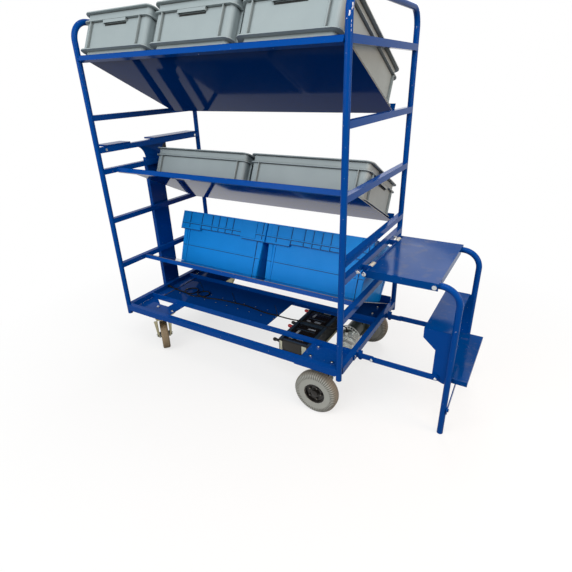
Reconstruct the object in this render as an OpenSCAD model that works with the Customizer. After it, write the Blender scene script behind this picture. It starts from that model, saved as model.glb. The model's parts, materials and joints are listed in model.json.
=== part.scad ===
// Tote picking trolley: a tube frame on two casters and two driven wheels, with three sloping
// trays of totes, a battery drive in its base and a folding step at one end.
// The long side runs along X, the operator picks from the front (-Y), and the floor is z = 0.

/* [Frame] */
// Room from the outermost totes to the end hoops' tube centres
end_room = 20; // [17:0.5:140]
// Distance between the tube centres of the front and rear uprights
frame_w = 704; // [690:2:800]
// Height of the hoops' top tubes above the floor, at the tube centre
frame_h = 1612; // [1590:2:1800]
// Outside diameter of the hoop tubes
tube_d = 25; // [22:0.5:28]
// Wall of every tube in the frame
tube_wall = 2; // [1:0.25:3]
// Bend radius of the hoops at the tube centre
hoop_bend_r = 75; // [50:1:100]
// Height of the uprights' lower ends above the floor
upright_z = 220; // [215:1:240]
// Height of the lowest rung's centre above the floor
rung_low_z = 503; // [490:1:530]
// Height step from one rung to the next
rung_pitch = 242; // [230:1:260]
// Height of a rung's section
rung_h = 25; // [20:1:30]
// Thickness of a rung's section
rung_t = 25; // [18:1:28]

/* [Base] */
// Height of a base rail's section
rail_h = 30; // [24:1:40]
// Depth of a base rail's section
rail_d = 25; // [20:1:28]
// How far the uprights reach below the base rails
rail_lift = 25; // [15:1:40]
// Distance of the front inner rail from the front uprights' centres
bay_front = 160; // [155:1:175]
// Clear width of the bay between the inner rails' upright legs
bay_w = 314; // [300:1:330]
// Thickness of the inner rails' angle section
angle_t = 3; // [2:0.5:5]
// Width of the inner rails' lying legs
angle_leg = 30; // [22:1:36]
// Width of the strip over the left end of the bay's floor sheet
strip_l = 53; // [40:1:60]
// Open gap from the bay's floor sheet to the batteries
floor_gap = 107; // [90:1:180]
// Thickness of the corner plates that carry the wheels
plate_t = 4; // [3:0.5:8]
// Length of a caster plate from the end rail
caster_plate_l = 238; // [236:1:300]
// Length of a drive wheel's plate from the end rail
drive_plate_l = 196; // [180:1:205]

/* [Trays] */
// Fall of the trays towards the rear, in degrees
tray_tilt = 26; // [20:0.5:30]
// Thickness of the tray sheets
tray_t = 2; // [1:0.25:3]
// Side of the square tube under a tray's front edge
bar_s = 20; // [16:1:25]
// Height of a tray's rear lip above the sheet's underside
lip_h = 40; // [25:1:50]
// How far the front tubes' centres lie below the rungs' centres
bar_drop = 4; // [0:0.5:5]
// Distance of the top tray's front tube behind the front uprights' centres
top_bar_y = 0; // [0:1:20]
// Distance of the middle tray's front tube behind the front uprights' centres
mid_bar_y = 85; // [60:1:110]
// Distance of the lower tray's front tube behind the front uprights' centres
low_bar_y = 167; // [150:1:175]
// Depth of the top tray from its front tube's centre to its rear lip, down the slope
top_depth = 570; // [560:1:600]
// Depth of the middle tray, measured the same way
mid_depth = 592; // [560:1:600]
// Depth of the lower tray, measured the same way
low_depth = 567; // [550:1:569]

/* [Grey totes] */
// Long side of a grey tote
tote_l = 600; // [560:1:640]
// Short side of a grey tote
tote_w = 400; // [360:1:420]
// Height of a grey tote
tote_h = 170; // [140:1:190]
// Wall of a tote
tote_wall = 2.5; // [2:0.25:4]
// Gap between neighbouring grey totes
tote_gap = 10; // [6:0.5:12]
// How far the two lower rims lie inside the lip
rim_inset = 3; // [1:0.5:6]
// How far the side walls lie inside the lip
wall_inset = 15; // [12:0.5:18]
// How far the foot lies inside the lip
foot_inset = 25; // [21:0.5:30]
// Height from the middle rim's underside to the lip's top
skirt_h = 39; // [30:1:46]
// Height of the foot
foot_h = 15; // [12:1:26]

/* [Blue totes] */
// Long side of a blue tote at its collar
blue_l = 588; // [560:1:596]
// Short side of a blue tote at its collar
blue_w = 400; // [380:1:410]
// Height of a blue tote
blue_h = 290; // [250:1:310]
// Height of the ribbed collar
collar_h = 105; // [80:1:115]
// How far the walls lie inside the collar at the top
collar_step = 12; // [8:0.5:16]
// How far the base lies inside the collar
blue_taper = 28; // [20:0.5:34]
// Gap between the two blue totes
blue_gap = 4; // [2:0.5:10]

/* [Wheels] */
// Diameter of the driven wheels
drive_d = 205; // [190:1:210]
// Width of the driven wheels' tyres
drive_w = 52; // [44:1:54]
// Distance of the drive axle from the right uprights' centres
axle_inset = 115; // [110:1:120]
// How far a driven wheel's outer face lies inside the frame's outer face
drive_face_inset = 10; // [8:0.5:12]
// Diameter of the drive axle's shafts
shaft_d = 20; // [16:0.5:24]
// Diameter of the caster wheels
caster_d = 160; // [150:1:170]
// Width of the caster tyres
caster_w = 40; // [34:1:44]
// Distance of the caster pivots from the left uprights' centres
caster_x = 186; // [180:1:190]
// Distance of the caster pivots inside the front and rear uprights' centres
caster_y = 52; // [50:0.5:54]
// Distance of a caster's axle behind its pivot
caster_trail = 45; // [40:0.5:50]
// Heading of the front caster away from straight ahead, in degrees
caster_turn = 40; // [0:1:60]
// Hole spacing of the wheel plates along X
hole_x = 105; // [100:1:110]
// Hole spacing of the drive plates along Y
hole_y = 80; // [76:1:82]
// Hole spacing of the caster plates along Y
caster_hole_y = 60; // [54:1:61]
// Diameter of the wheel plates' bolts
bolt_d = 8; // [6:0.5:8.5]

/* [Drive] */
// Thickness of a battery lying flat
battery_h = 77; // [70:1:80]
// Size of a battery along X
battery_l = 167; // [150:1:170]
// Size of a battery along Y
battery_w = 181; // [170:1:182]
// Gap of the batteries' top faces below the rails
battery_gap = 5; // [4:0.5:10]
// Distance from the drive axle to the batteries' right faces
battery_back = 95; // [88:1:110]
// Diameter of the motor
motor_d = 80; // [70:1:84]
// Length of the motor
motor_l = 108; // [90:1:110]
// Diameter of the gearbox ring
gearbox_d = 124; // [118:1:130]
// Diameter of the supply cable
cable_d = 7; // [6:0.5:7.5]

/* [Console] */
// Height of the console bar's centre above the floor
console_z = 1086; // [1060:1:1100]
// Width of the column that carries the console
column_w = 110; // [90:1:130]
// Thickness of the column's sheet
column_t = 3; // [2:0.5:4]
// Radius of the column's flare under the console bar
flare_r = 62; // [45:1:75]
// Width of the control box
control_w = 80; // [70:1:96]
// Depth of the control box
control_d = 45; // [35:1:60]
// Diameter of the red stop button
stop_d = 40; // [30:1:44]
// Travel of the red stop button
stop_travel = 6; // [3:0.5:8]

/* [Step] */
// Distance of the platform's hinge from the right uprights' centres
hinge_out = 43; // [42:0.5:50]
// Height of the platform's hinge above the floor
hinge_z = 668; // [660:1:680]
// Distance between the platform's hinge and the legs' pivots
step_reach = 270; // [260:1:280]
// Width of the platform
platform_w = 460; // [440:2:480]
// Height of the platform's edge flanges
platform_h = 30; // [29:0.5:36]
// Thickness of the step's sheets
step_t = 2; // [1.5:0.25:2.5]
// Distance from the platform's hinge to the legs' centres
leg_out = 363; // [355:1:372]
// Bend radius of the legs at the tube centre
leg_bend_r = 75; // [60:1:80]
// Height of the upper tread
upper_tread_z = 472; // [460:1:480]
// Depth of the upper tread
upper_tread_d = 103; // [90:1:104]
// Height of the lower tread
lower_tread_z = 271; // [264:1:275]
// Depth of the lower tread
lower_tread_d = 136; // [120:1:150]
// Offset of the links' lower pivots from the platform's hinge along X
link_dx = 44; // [40:1:48]
// Drop of the links' lower pivots below the platform's hinge
link_drop = 407; // [402:1:412]
// Height of a link's flat bar
link_h = 25; // [22:1:28]
// Thickness of a link's flat bar
link_t = 5; // [4:0.5:6]

/* [Hidden] */

$fn = 48;
frame_blue = "#0a4aa6";
tote_grey = "#9aa5a8";
tote_blue = "#1d86dd";
zinc = "#b9b7a8";
steel = "#c4c6c4";
black = "#1c1d1f";

// Running and seating clearances
run_gap = 0.05;
seat_gap = 0.3;
bolt_play = 1;
link_gap = 0.6;
over = 1;

// The hoops stand clear of the longest row of totes
frame_l = max(2 * tote_l + tote_gap, 3 * tote_w + 2 * tote_gap, 2 * blue_l + blue_gap) + 2 * end_room;
tube_r = tube_d / 2;
cope = tube_r / 4;
bend_z = frame_h - hoop_bend_r;
side_t = max(tube_d, rung_t);
inside_l = frame_l - side_t;
rung_zs = [for (i = [0 : 4]) rung_low_z + i * rung_pitch];
rail_z = upright_z + rail_lift;
rail_top = rail_z + rail_h;
plate_z = rail_z - plate_t;
mid_y = frame_w / 2;
y_sides = [0, frame_w];

bay_rear = bay_front + angle_t + bay_w + angle_t;
floor_z = rail_z + angle_t;
floor_t = 2;

axle_x = frame_l - axle_inset;
axle_z = drive_d / 2;
drive_y = -tube_r + drive_face_inset;
rim_r = 50;
rim_bolt_r = 30;
bearing_y = caster_y + hole_y / 2 + 12;
bearing_w = hole_y + 26;
bearing_l = hole_x + 34;
bearing_boss_d = 52;
bearing_t = 6;
bolt_end = 3;

caster_axle_z = caster_d / 2;
caster_hub_r = caster_d / 2 - 20;
caster_axle_d = 12;
caster_plate_t = 4;
race_d = 76;
race_h = 26;
crown_h = 6;
king_d = 20;
king_nut_h = 10;
fork_t = 4;
fork_gap = 8;
fork_half = caster_w / 2 + fork_gap;

battery_x = axle_x - battery_back - battery_l;
battery_top = rail_z - battery_gap;
battery_mid_y = bay_front + angle_t + bay_w / 2 - 3;
carrier_t = 2;
carrier_lip = 14;
terminal_l = 8;
terminal_d = 14;
terminal_inset = 18;
terminal_drop = 27;
strap_w = 12;

gearbox_x = axle_x - 7;
gearbox_z = axle_z + 19;
gearbox_back = 322;
gearbox_y = frame_w - gearbox_back;
gearbox_ring_w = 56;
cover_d = gearbox_d - 22;
cover_l = 34;
nose_d = 66;
nose_l = 24;
motor_x = gearbox_x - 20;
motor_z = gearbox_z + 31;
motor_y = gearbox_y + gearbox_ring_w;
motor_cap_l = 8;
gland_d = 16;
gland = [gearbox_x - 13, gearbox_y + 18, floor_z + floor_t - 50 - seat_gap];

column_x = -side_t / 2 - column_t;
column_fold = 20;
console_top = console_z + rung_h / 2;
cover_start = 48;
cover_space = 162;
cover_t = 1.5;
cover_h = 8;
cover_out = 48;
control_h = 56;
control_z = console_top - control_h - 6;
control_x = column_x - control_d;
control_off = 64;
control_y = mid_y + control_off;
stop_collar_d = 26;
stop_collar_l = 6;
stop_stem_d = 16;
stop_head_l = 14;
stop_x = control_x - stop_collar_l - stop_travel - seat_gap - stop_head_l;

hinge_x = frame_l + hinge_out;
rod_d = 12;
lug_r = 14;
pivot_x = hinge_x + step_reach;
platform_top = hinge_z + 16;
platform_start = hinge_x + 16;
platform_end = pivot_x + 13;
platform_y = mid_y - platform_w / 2;
leg_x = hinge_x + leg_out;
leg_y = platform_y + step_t + 8 + tube_r;
leg_ys = [leg_y, frame_w - leg_y];
cheek_y = leg_y + tube_r;
cheek_t = 3;
tread_w = frame_w - 2 * (cheek_y + cheek_t);
tread_fold = 20;
upper_tread_x = leg_x - tube_r - 3.5 - upper_tread_d;
lower_tread_x = leg_x - 66;
link_x = hinge_x + link_dx;
link_z = hinge_z - link_drop;
link_end_x = link_x + step_reach;
link_pin_d = 10;
link_y = cheek_y - 4.5 - link_t;
bracket_t = 4;
beam_z = hinge_z + 5;
hinge_bracket_t = 6;
hinge_bracket_ys = [platform_y + 55, platform_y + platform_w - 67];
bush_d = 20;
bush_l = 45;
brace_t = 4;
brace_h = 25;
brace_low_z = 124;
brace_high_z = 226;

// Ribs and corners of the totes
blue_rib = 3;
blue_corner = 30;
blue_floor = 4;
blue_deep = 12;
blue_end = 147;
// Places of a blue tote's collar ribs from the middle of its long side, as shares of its length
BLUE_RIBS = [-0.393, -0.247, -0.121, -0.039, 0.046, 0.129, 0.461];
// Ends of the plain panel on the collar
blue_panel = [0.231 * blue_l, 0.396 * blue_l];
// Reach of a blue tote's leaning wall at the height of the tray's lip
blue_half = blue_w / 2 - blue_taper + (blue_taper - collar_step) * (lip_h - tray_t) / blue_h;

// Middle of the whole trolley: from the stop button to the lower tread's edge, and from the
// front uprights to the blue totes' rear rims
x_mid = (stop_x + lower_tread_x + lower_tread_d) / 2;
blue_rim_y = low_depth - tray_t - seat_gap - blue_half + blue_w / 2;
blue_rim_z = bar_s / 2 + tray_t + seat_gap + blue_h;
y_mid = (low_bar_y + blue_rim_y * cos(tray_tilt) + blue_rim_z * sin(tray_tilt) - tube_r) / 2;

// Route of the supply cable, laid in the bay from the left end rail to the motor's gland.
// Each point is x, y and the height above the bay's floor sheet.
CABLE_ROUTE = [
    [12.5, 290, 12], [26, 290, 12], [60, 288, 9], [100, 285, 5], [130, 282, 4], [152, 281, 4],
    [172, 281, 4], [190, 285.8, 4], [203.2, 299, 4], [208, 317, 4], [203.2, 335, 4], [190, 348.2, 4],
    [172, 353, 4], [154, 348.2, 4], [140.8, 335, 4.5], [136, 317, 6], [139, 299, 10], [150, 283, 13],
    [168, 272, 13], [190, 267.5, 8], [213, 268, 4], [236, 273, 4], [255, 278.5, 4], [273.2, 285.4, 4],
    [287.5, 296, 4], [295.5, 311.5, 4], [294, 328.6, 4], [283.9, 343, 4], [267.9, 350.5, 4],
    [250.4, 348.9, 4], [236, 338.9, 4.5], [228.5, 322.9, 6], [230, 305.4, 9], [239, 290, 13],
    [254, 279.5, 13.5], [272, 275.5, 13], [292, 277, 9], [314, 283, 5], [340, 291, 4], [366, 298, 4],
    [396, 303, 4], [430, 307, 4], [461, 309, 4], [495, 311, 4], [525, 313, 4], [560, 313, 4],
    [594, 310, 4], [632, 304, 4], [668, 299, 4], [702, 296, 4], [738, 296, 4], [776, 298, 4],
    [820, 303, 0], [862, 310, -3], [900, 318, -4], [930, 325, -5], [961, 328, -5], [1000, 327, -5],
    [1034, 328, -5.5], [1060, 334, -6], [1080, 345, -7], [1094, 359, -8.5], [1104.6, 372.8, -10],
    [1112.4, 383.2, -12.6], [1119, 392, -20], [1123.4, 397.9, -31], [1125, 400, -44], [1125, 400, -50]];

function spline(a, b, c, d, t) = 0.5 * (2 * b + (c - a) * t + (2 * a - 5 * b + 4 * c - d) * t * t
    + (3 * b - a - 3 * c + d) * t * t * t);

module box(low, high) {
    translate(low)
        cube(high - low);
}

module rod_x(start, d, l) {
    translate(start)
        rotate([0, 90, 0])
            cylinder(d = d, h = l);
}

module rod_y(start, d, l) {
    translate(start)
        rotate([-90, 0, 0])
            cylinder(d = d, h = l);
}

module rod_z(start, d, l) {
    translate(start)
        cylinder(d = d, h = l);
}

// Outline with round corners, about its centre
module round_rect(l, w, r) {
    square([l - 2 * r, w], center = true);
    square([l, w - 2 * r], center = true);
    for (x = [-1, 1], y = [-1, 1])
        translate([x * (l / 2 - r), y * (w / 2 - r)])
            circle(r);
}

module round_block(l, w, h, r) {
    linear_extrude(h)
        round_rect(l, w, r);
}

// Mirrors its children to the rear half of the trolley as well
module both_halves() {
    children();
    translate([0, frame_w, 0])
        mirror([0, 1, 0])
            children();
}

module rear_half() {
    translate([0, frame_w, 0])
        mirror([0, 1, 0])
            children();
}

// Puts the trolley's middle over the origin
module place() {
    translate([-x_mid, -y_mid, 0])
        children();
}

// Hoops: two uprights and a top tube bent from one length
module hoop_run(d, extra) {
    for (y = y_sides)
        rod_z([0, y, upright_z - extra], d, bend_z - upright_z + extra);
    rod_y([0, hoop_bend_r, frame_h], d, frame_w - 2 * hoop_bend_r);
    for (end = [[hoop_bend_r, 90], [frame_w - hoop_bend_r, 0]])
        translate([0, end[0], bend_z])
            rotate([90, 0, 90])
                rotate(end[1])
                    rotate_extrude(angle = 90)
                        translate([hoop_bend_r, 0])
                            circle(d = d);
}

module hoop() {
    difference() {
        hoop_run(tube_d, 0);
        hoop_run(tube_d - 2 * tube_wall, over);
    }
}

module left_hoop() {
    color(frame_blue)
        hoop();
}

module right_hoop() {
    color(frame_blue)
        translate([frame_l, 0, 0])
            hoop();
}

// Rectangular tube between the two uprights of a hoop, coped round them
module rung(x, z) {
    w = rung_t - 2 * tube_wall;
    h = rung_h - 2 * tube_wall;
    difference() {
        box([x - rung_t / 2, cope, z - rung_h / 2], [x + rung_t / 2, frame_w - cope, z + rung_h / 2]);
        box([x - w / 2, 0, z - h / 2], [x + w / 2, frame_w, z + h / 2]);
        for (y = y_sides)
            rod_z([x, y, z - rung_h], tube_d, 2 * rung_h);
    }
}

module left_rungs() {
    color(frame_blue)
        for (z = rung_zs)
            rung(0, z);
}

module right_rungs() {
    color(frame_blue)
        for (z = rung_zs)
            rung(frame_l, z);
}

// Base: a box frame of rectangular tube, with two angles that form the middle bay
module long_rail() {
    w = rail_d - 2 * tube_wall;
    difference() {
        box([cope, -rail_d / 2, rail_z], [frame_l - cope, rail_d / 2, rail_top]);
        box([0, -w / 2, rail_z + tube_wall], [frame_l, w / 2, rail_top - tube_wall]);
        for (x = [0, frame_l])
            rod_z([x, 0, rail_z - over], tube_d, rail_h + 2 * over);
    }
}

module long_rails() {
    color(frame_blue)
        both_halves()
            long_rail();
}

module end_rail(x) {
    w = rail_d - 2 * tube_wall;
    start = max(rail_d, tube_d) / 2;
    difference() {
        box([x - rail_d / 2, start, rail_z], [x + rail_d / 2, frame_w - start, rail_top]);
        box([x - w / 2, 0, rail_z + tube_wall], [x + w / 2, frame_w, rail_top - tube_wall]);
    }
}

module end_rails() {
    color(frame_blue) {
        end_rail(0);
        end_rail(frame_l);
    }
}

// Angle with its upright leg outside and its lying leg towards the bay
module inner_rail(y, leg_low, leg_high) {
    x0 = rail_d / 2;
    x1 = frame_l - rail_d / 2;
    box([x0, y, rail_z], [x1, y + angle_t, rail_top]);
    box([x0, leg_low, rail_z], [x1, leg_high, rail_z + angle_t]);
}

module inner_rails() {
    color(frame_blue) {
        inner_rail(bay_front, bay_front, bay_front + angle_leg);
        inner_rail(bay_rear - angle_t, bay_rear - angle_leg, bay_rear);
        // Strip that ties the two rails over the left end of the floor
        box([rail_d / 2 + seat_gap, bay_front + angle_t - seat_gap, floor_z + floor_t],
            [rail_d / 2 + strip_l, bay_rear - angle_t + seat_gap, floor_z + floor_t + angle_t]);
    }
}

module bay_floor() {
    color(frame_blue)
        box([rail_d / 2 + seat_gap, bay_front + angle_t, floor_z],
            [battery_x - floor_gap, bay_rear - angle_t, floor_z + floor_t]);
}

// Four bolt places of a wheel plate about its centre
module at_plate_holes(x, y, spacing_y) {
    for (dx = [-1, 1], dy = [-1, 1])
        translate([x + dx * hole_x / 2, y + dy * spacing_y / 2, 0])
            children();
}

module caster_plate(inner_y) {
    difference() {
        box([rail_d / 2 + seat_gap, -rail_d / 2, plate_z], [rail_d / 2 + caster_plate_l, inner_y, rail_z]);
        at_plate_holes(caster_x, caster_y, caster_hole_y)
            translate([0, 0, plate_z - over])
                cylinder(d = bolt_d + bolt_play, h = plate_t + 2 * over);
    }
}

// Front plate with a window against the inner rail, slanted at its left end
module caster_plates() {
    window_x = rail_d / 2 + caster_plate_l - 75;
    window_l = 123;
    window_w = 44;
    slant = 62;
    color(frame_blue) {
        difference() {
            caster_plate(bay_front + angle_t);
            translate([window_x, bay_front, plate_z - over])
                linear_extrude(plate_t + 2 * over)
                    polygon([[0, 0], [-window_l, 0], [slant - window_l, -window_w], [0, -window_w]]);
        }
        rear_half()
            caster_plate(frame_w - bay_rear + angle_t);
    }
}

module drive_plate(inner_y) {
    difference() {
        box([frame_l - rail_d / 2 - drive_plate_l, -rail_d / 2, plate_z],
            [frame_l - rail_d / 2 - seat_gap, inner_y, rail_z]);
        at_plate_holes(axle_x, bearing_y, hole_y)
            translate([0, 0, plate_z - over])
                cylinder(d = bolt_d + bolt_play, h = plate_t + 2 * over);
    }
}

module drive_plates() {
    color(frame_blue) {
        drive_plate(bay_front + angle_t);
        rear_half()
            drive_plate(frame_w - bay_rear + angle_t);
    }
}

// Hexagon bolt from below with its nut on top, about the plate's top face
module plate_bolt(grip) {
    nut_d = 1.9 * bolt_d;
    nut_h = 0.8 * bolt_d;
    cylinder(d = nut_d, h = nut_h, $fn = 6);
    translate([0, 0, -grip - nut_h])
        cylinder(d = nut_d, h = nut_h, $fn = 6);
    translate([0, 0, -grip - nut_h])
        cylinder(d = bolt_d, h = grip + 2 * nut_h + bolt_end);
}

// Button-head bolt that points along +X, with its seat at the origin
module button_bolt_x() {
    rotate([0, 90, 0])
        cylinder(d = 12, h = 4);
}

module frame_bolts() {
    color(steel) {
        both_halves() {
            translate([0, 0, rail_z]) {
                at_plate_holes(caster_x, caster_y, caster_hole_y)
                    plate_bolt(plate_t + caster_plate_t);
                at_plate_holes(axle_x, bearing_y, hole_y)
                    plate_bolt(plate_t + bearing_t);
            }
            translate([rung_t / 2, 40, console_z])
                button_bolt_x();
            translate([frame_l + rail_d / 2 + bracket_t, link_y - 12, link_z + 2])
                button_bolt_x();
        }
    }
}

// Trays: x from the trolley's middle, y down the slope from the front tube, z square to the sheet
module on_tray(bar_y, rung_index) {
    translate([frame_l / 2, bar_y, rung_zs[rung_index] - bar_drop])
        rotate([-tray_tilt, 0, 0])
            children();
}

module tray_sheet(depth) {
    under = bar_s / 2;
    box([-inside_l / 2, -bar_s / 2, under], [inside_l / 2, depth, under + tray_t]);
    box([-inside_l / 2, depth - tray_t, under], [inside_l / 2, depth, under + lip_h]);
}

module top_tray() {
    color(frame_blue)
        on_tray(top_bar_y, 4)
            tray_sheet(top_depth);
}

module middle_tray() {
    color(frame_blue)
        on_tray(mid_bar_y, 2)
            tray_sheet(mid_depth);
}

module lower_tray() {
    color(frame_blue)
        on_tray(low_bar_y, 0)
            tray_sheet(low_depth);
}

module tray_tube() {
    inner = bar_s - 2 * tube_wall;
    difference() {
        cube([inside_l, bar_s, bar_s], center = true);
        cube([inside_l + 2 * over, inner, inner], center = true);
    }
}

module tray_tubes() {
    color(frame_blue) {
        on_tray(top_bar_y, 4)
            tray_tube();
        on_tray(mid_bar_y, 2)
            tray_tube();
        on_tray(low_bar_y, 0)
            tray_tube();
    }
}

// Column: a folded sheet on the left end frame that flares out under the console bar
module column_outline() {
    h = console_top - rail_z;
    translate([-column_w / 2, 0])
        square([column_w, h]);
    translate([0, h - rung_h - flare_r])
        difference() {
            translate([-column_w / 2 - flare_r, 0])
                square([column_w + 2 * flare_r, flare_r + rung_h]);
            for (side = [-1, 1])
                translate([side * (column_w / 2 + flare_r), 0])
                    circle(flare_r);
        }
}

module column() {
    fold_h = console_top - rung_h - flare_r - rail_z;
    color(frame_blue) {
        translate([column_x, mid_y, rail_z])
            rotate([90, 0, 90])
                linear_extrude(column_t)
                    column_outline();
        for (side = [-1, 1])
            translate([column_x - column_fold, mid_y + side * (column_w - column_t) / 2 - column_t / 2,
                rail_z])
                cube([column_fold, column_t, fold_h]);
    }
}

module console_bar() {
    color(frame_blue)
        rung(0, console_z);
}

// Shallow sheet covers on the console bar, open underneath
module console_cover(y0, y1) {
    x0 = column_x - cover_out;
    x1 = rung_t / 2;
    difference() {
        box([x0, y0, console_top], [x1, y1, console_top + cover_h]);
        box([x0 + cover_t, y0 + cover_t, console_top - over],
            [x1 - cover_t, y1 - cover_t, console_top + cover_h - cover_t]);
    }
}

module console_covers() {
    color(frame_blue) {
        console_cover(cover_start, mid_y - cover_space);
        console_cover(mid_y - seat_gap, frame_w - tube_d);
    }
}

module control_box() {
    y0 = control_y - control_w / 2;
    wall = 3;
    color(black)
        difference() {
            union() {
                box([control_x, y0, control_z], [column_x, y0 + control_w, control_z + control_h]);
                rod_x([control_x - stop_collar_l, control_y, control_z + control_h / 2], stop_collar_d,
                    stop_collar_l);
            }
            box([control_x + wall, y0 + wall, control_z + wall],
                [column_x - wall, y0 + control_w - wall, control_z + control_h - wall]);
            rod_x([control_x - stop_collar_l - over, control_y, control_z + control_h / 2],
                stop_stem_d + 2 * run_gap, stop_collar_l + wall + 2 * over);
        }
}

module stop_button() {
    z = control_z + control_h / 2;
    color("#c8202a") {
        rod_x([stop_x + stop_head_l, control_y, z], stop_stem_d, stop_travel + stop_collar_l + 6);
        translate([stop_x + stop_head_l, control_y, z])
            rotate([0, -90, 0])
                rotate_extrude() {
                    square([stop_d / 2, stop_head_l / 2]);
                    square([stop_d / 2 - stop_head_l / 2, stop_head_l]);
                    intersection() {
                        translate([stop_d / 2 - stop_head_l / 2, stop_head_l / 2])
                            circle(stop_head_l / 2);
                        square([stop_d, stop_head_l]);
                    }
                }
    }
}

// Casters, about the pivot on the floor, with the axle behind it along -X
module at_front_caster() {
    translate([caster_x, caster_y, 0])
        rotate(-caster_turn)
            children();
}

module caster_head() {
    top = plate_z;
    color(zinc)
        translate([caster_x, caster_y, 0]) {
            difference() {
                translate([0, 0, top - caster_plate_t])
                    round_block(hole_x + 24, caster_hole_y + 30, caster_plate_t, 8);
                at_plate_holes(0, 0, caster_hole_y)
                    translate([0, 0, top - caster_plate_t - over])
                        cylinder(d = bolt_d + bolt_play, h = caster_plate_t + 2 * over);
            }
            translate([0, 0, top - caster_plate_t - race_h + crown_h])
                cylinder(d = race_d, h = race_h - crown_h);
            translate([0, 0, top - caster_plate_t - race_h - king_nut_h])
                cylinder(d = king_d, h = race_h);
            translate([0, 0, top - caster_plate_t - race_h - seat_gap - king_nut_h])
                cylinder(d = 1.6 * king_d, h = king_nut_h, $fn = 6);
        }
}

module fork_leg_outline() {
    crown = plate_z - caster_plate_t - race_h;
    eye_r = 17;
    difference() {
        union() {
            polygon([[-34, crown], [34, crown], [-caster_trail + eye_r, caster_axle_z],
                [-caster_trail - eye_r, caster_axle_z]]);
            translate([-caster_trail, caster_axle_z])
                circle(eye_r);
        }
        translate([-caster_trail, caster_axle_z])
            circle(d = caster_axle_d);
    }
}

module fork_leg(y) {
    translate([0, y + fork_t, 0])
        rotate([90, 0, 0])
            linear_extrude(fork_t)
                fork_leg_outline();
}

module caster_fork() {
    crown = plate_z - caster_plate_t - race_h;
    nut_d = 1.8 * caster_axle_d;
    nut_h = 0.7 * caster_axle_d;
    color(zinc)
        at_front_caster() {
            difference() {
                translate([0, 0, crown]) {
                    cylinder(d = race_d, h = crown_h - seat_gap);
                    translate([-34, -fork_half - fork_t, 0])
                        cube([68, 2 * (fork_half + fork_t), crown_h - seat_gap]);
                }
                translate([0, 0, crown - over])
                    cylinder(d = king_d + 2 * run_gap, h = crown_h + 2 * over);
            }
            fork_leg(fork_half);
            fork_leg(-fork_half - fork_t);
            translate([-caster_trail, 0, caster_axle_z]) {
                rod_y([0, -fork_half - fork_t - nut_h, 0], caster_axle_d, 2 * (fork_half + fork_t + nut_h));
                for (side = [0, 1])
                    mirror([0, side, 0])
                        translate([0, fork_half + fork_t, 0])
                            rotate([-90, 0, 0])
                                cylinder(d = nut_d, h = nut_h, $fn = 6);
            }
        }
}

// Ring with round shoulders, about the Z axis
module tyre_ring(outer_r, inner_r, w, shoulder) {
    rotate_extrude($fn = 96) {
        translate([inner_r, -w / 2])
            square([outer_r - shoulder - inner_r, w]);
        translate([inner_r, -w / 2 + shoulder])
            square([outer_r - inner_r, w - 2 * shoulder]);
        for (side = [-1, 1])
            translate([outer_r - shoulder, side * (w / 2 - shoulder)])
                circle(shoulder);
    }
}

module at_caster_axle() {
    at_front_caster()
        translate([-caster_trail, 0, caster_axle_z])
            rotate([90, 0, 0])
                children();
}

module caster_tyre() {
    color("#7d7260")
        at_caster_axle()
            tyre_ring(caster_d / 2, caster_hub_r, caster_w, 9);
}

// Hub with a thick rim, a thin web with round openings and a boss on the axle
module caster_hub() {
    rim_t = 8;
    web_t = 10;
    boss_r = 16;
    web_mid = (caster_hub_r - rim_t + boss_r) / 2;
    hole_r = 0.36 * (caster_hub_r - rim_t - boss_r);
    color("#8d8f8c")
        at_caster_axle()
            difference() {
                union() {
                    cylinder(r = caster_hub_r, h = caster_w - 8, center = true);
                    cylinder(r = boss_r, h = 2 * (fork_half - seat_gap), center = true);
                }
                for (side = [0, 1])
                    mirror([0, 0, side])
                        translate([0, 0, web_t / 2])
                            difference() {
                                cylinder(r = caster_hub_r - rim_t, h = caster_w);
                                translate([0, 0, -over])
                                    cylinder(r = boss_r, h = caster_w + 2 * over);
                            }
                for (i = [0 : 5])
                    rotate(60 * i)
                        translate([web_mid, 0, 0])
                            cylinder(r = hole_r, h = 2 * web_t, center = true);
                cylinder(d = caster_axle_d + 2 * run_gap, h = 2 * fork_half + 2 * over, center = true);
            }
}

module front_caster_head() { caster_head(); }
module front_caster_fork() { caster_fork(); }
module front_caster_hub() { caster_hub(); }
module front_caster_tyre() { caster_tyre(); }
module rear_caster_head() { rear_half() caster_head(); }
module rear_caster_fork() { rear_half() caster_fork(); }
module rear_caster_hub() { rear_half() caster_hub(); }
module rear_caster_tyre() { rear_half() caster_tyre(); }

// Driven wheels, on half shafts that run in brackets under the drive plates
module at_drive_wheel() {
    translate([axle_x, drive_y + drive_w / 2, axle_z])
        rotate([90, 0, 0])
            children();
}

module drive_tyre() {
    color("#85877f")
        at_drive_wheel()
            tyre_ring(drive_d / 2, rim_r, drive_w, 20);
}

module drive_rim() {
    rim_t = 6;
    web_t = 8;
    dish = drive_w / 2 - 12;
    boss_r = 20;
    color(black)
        at_drive_wheel()
            difference() {
                union() {
                    difference() {
                        cylinder(r = rim_r, h = drive_w - 8, center = true);
                        translate([0, 0, dish])
                            cylinder(r = rim_r - rim_t, h = drive_w);
                        translate([0, 0, dish - web_t - drive_w])
                            cylinder(r = rim_r - rim_t, h = drive_w);
                    }
                    translate([0, 0, -drive_w / 2 + 2])
                        cylinder(r = boss_r, h = drive_w - 8);
                    for (i = [0 : 4])
                        rotate(72 * i)
                            translate([rim_bolt_r, 0, dish - over])
                                cylinder(d = 13, h = 6 + over, $fn = 6);
                }
                cylinder(d = shaft_d, h = drive_w + 2 * over, center = true);
            }
}

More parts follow.
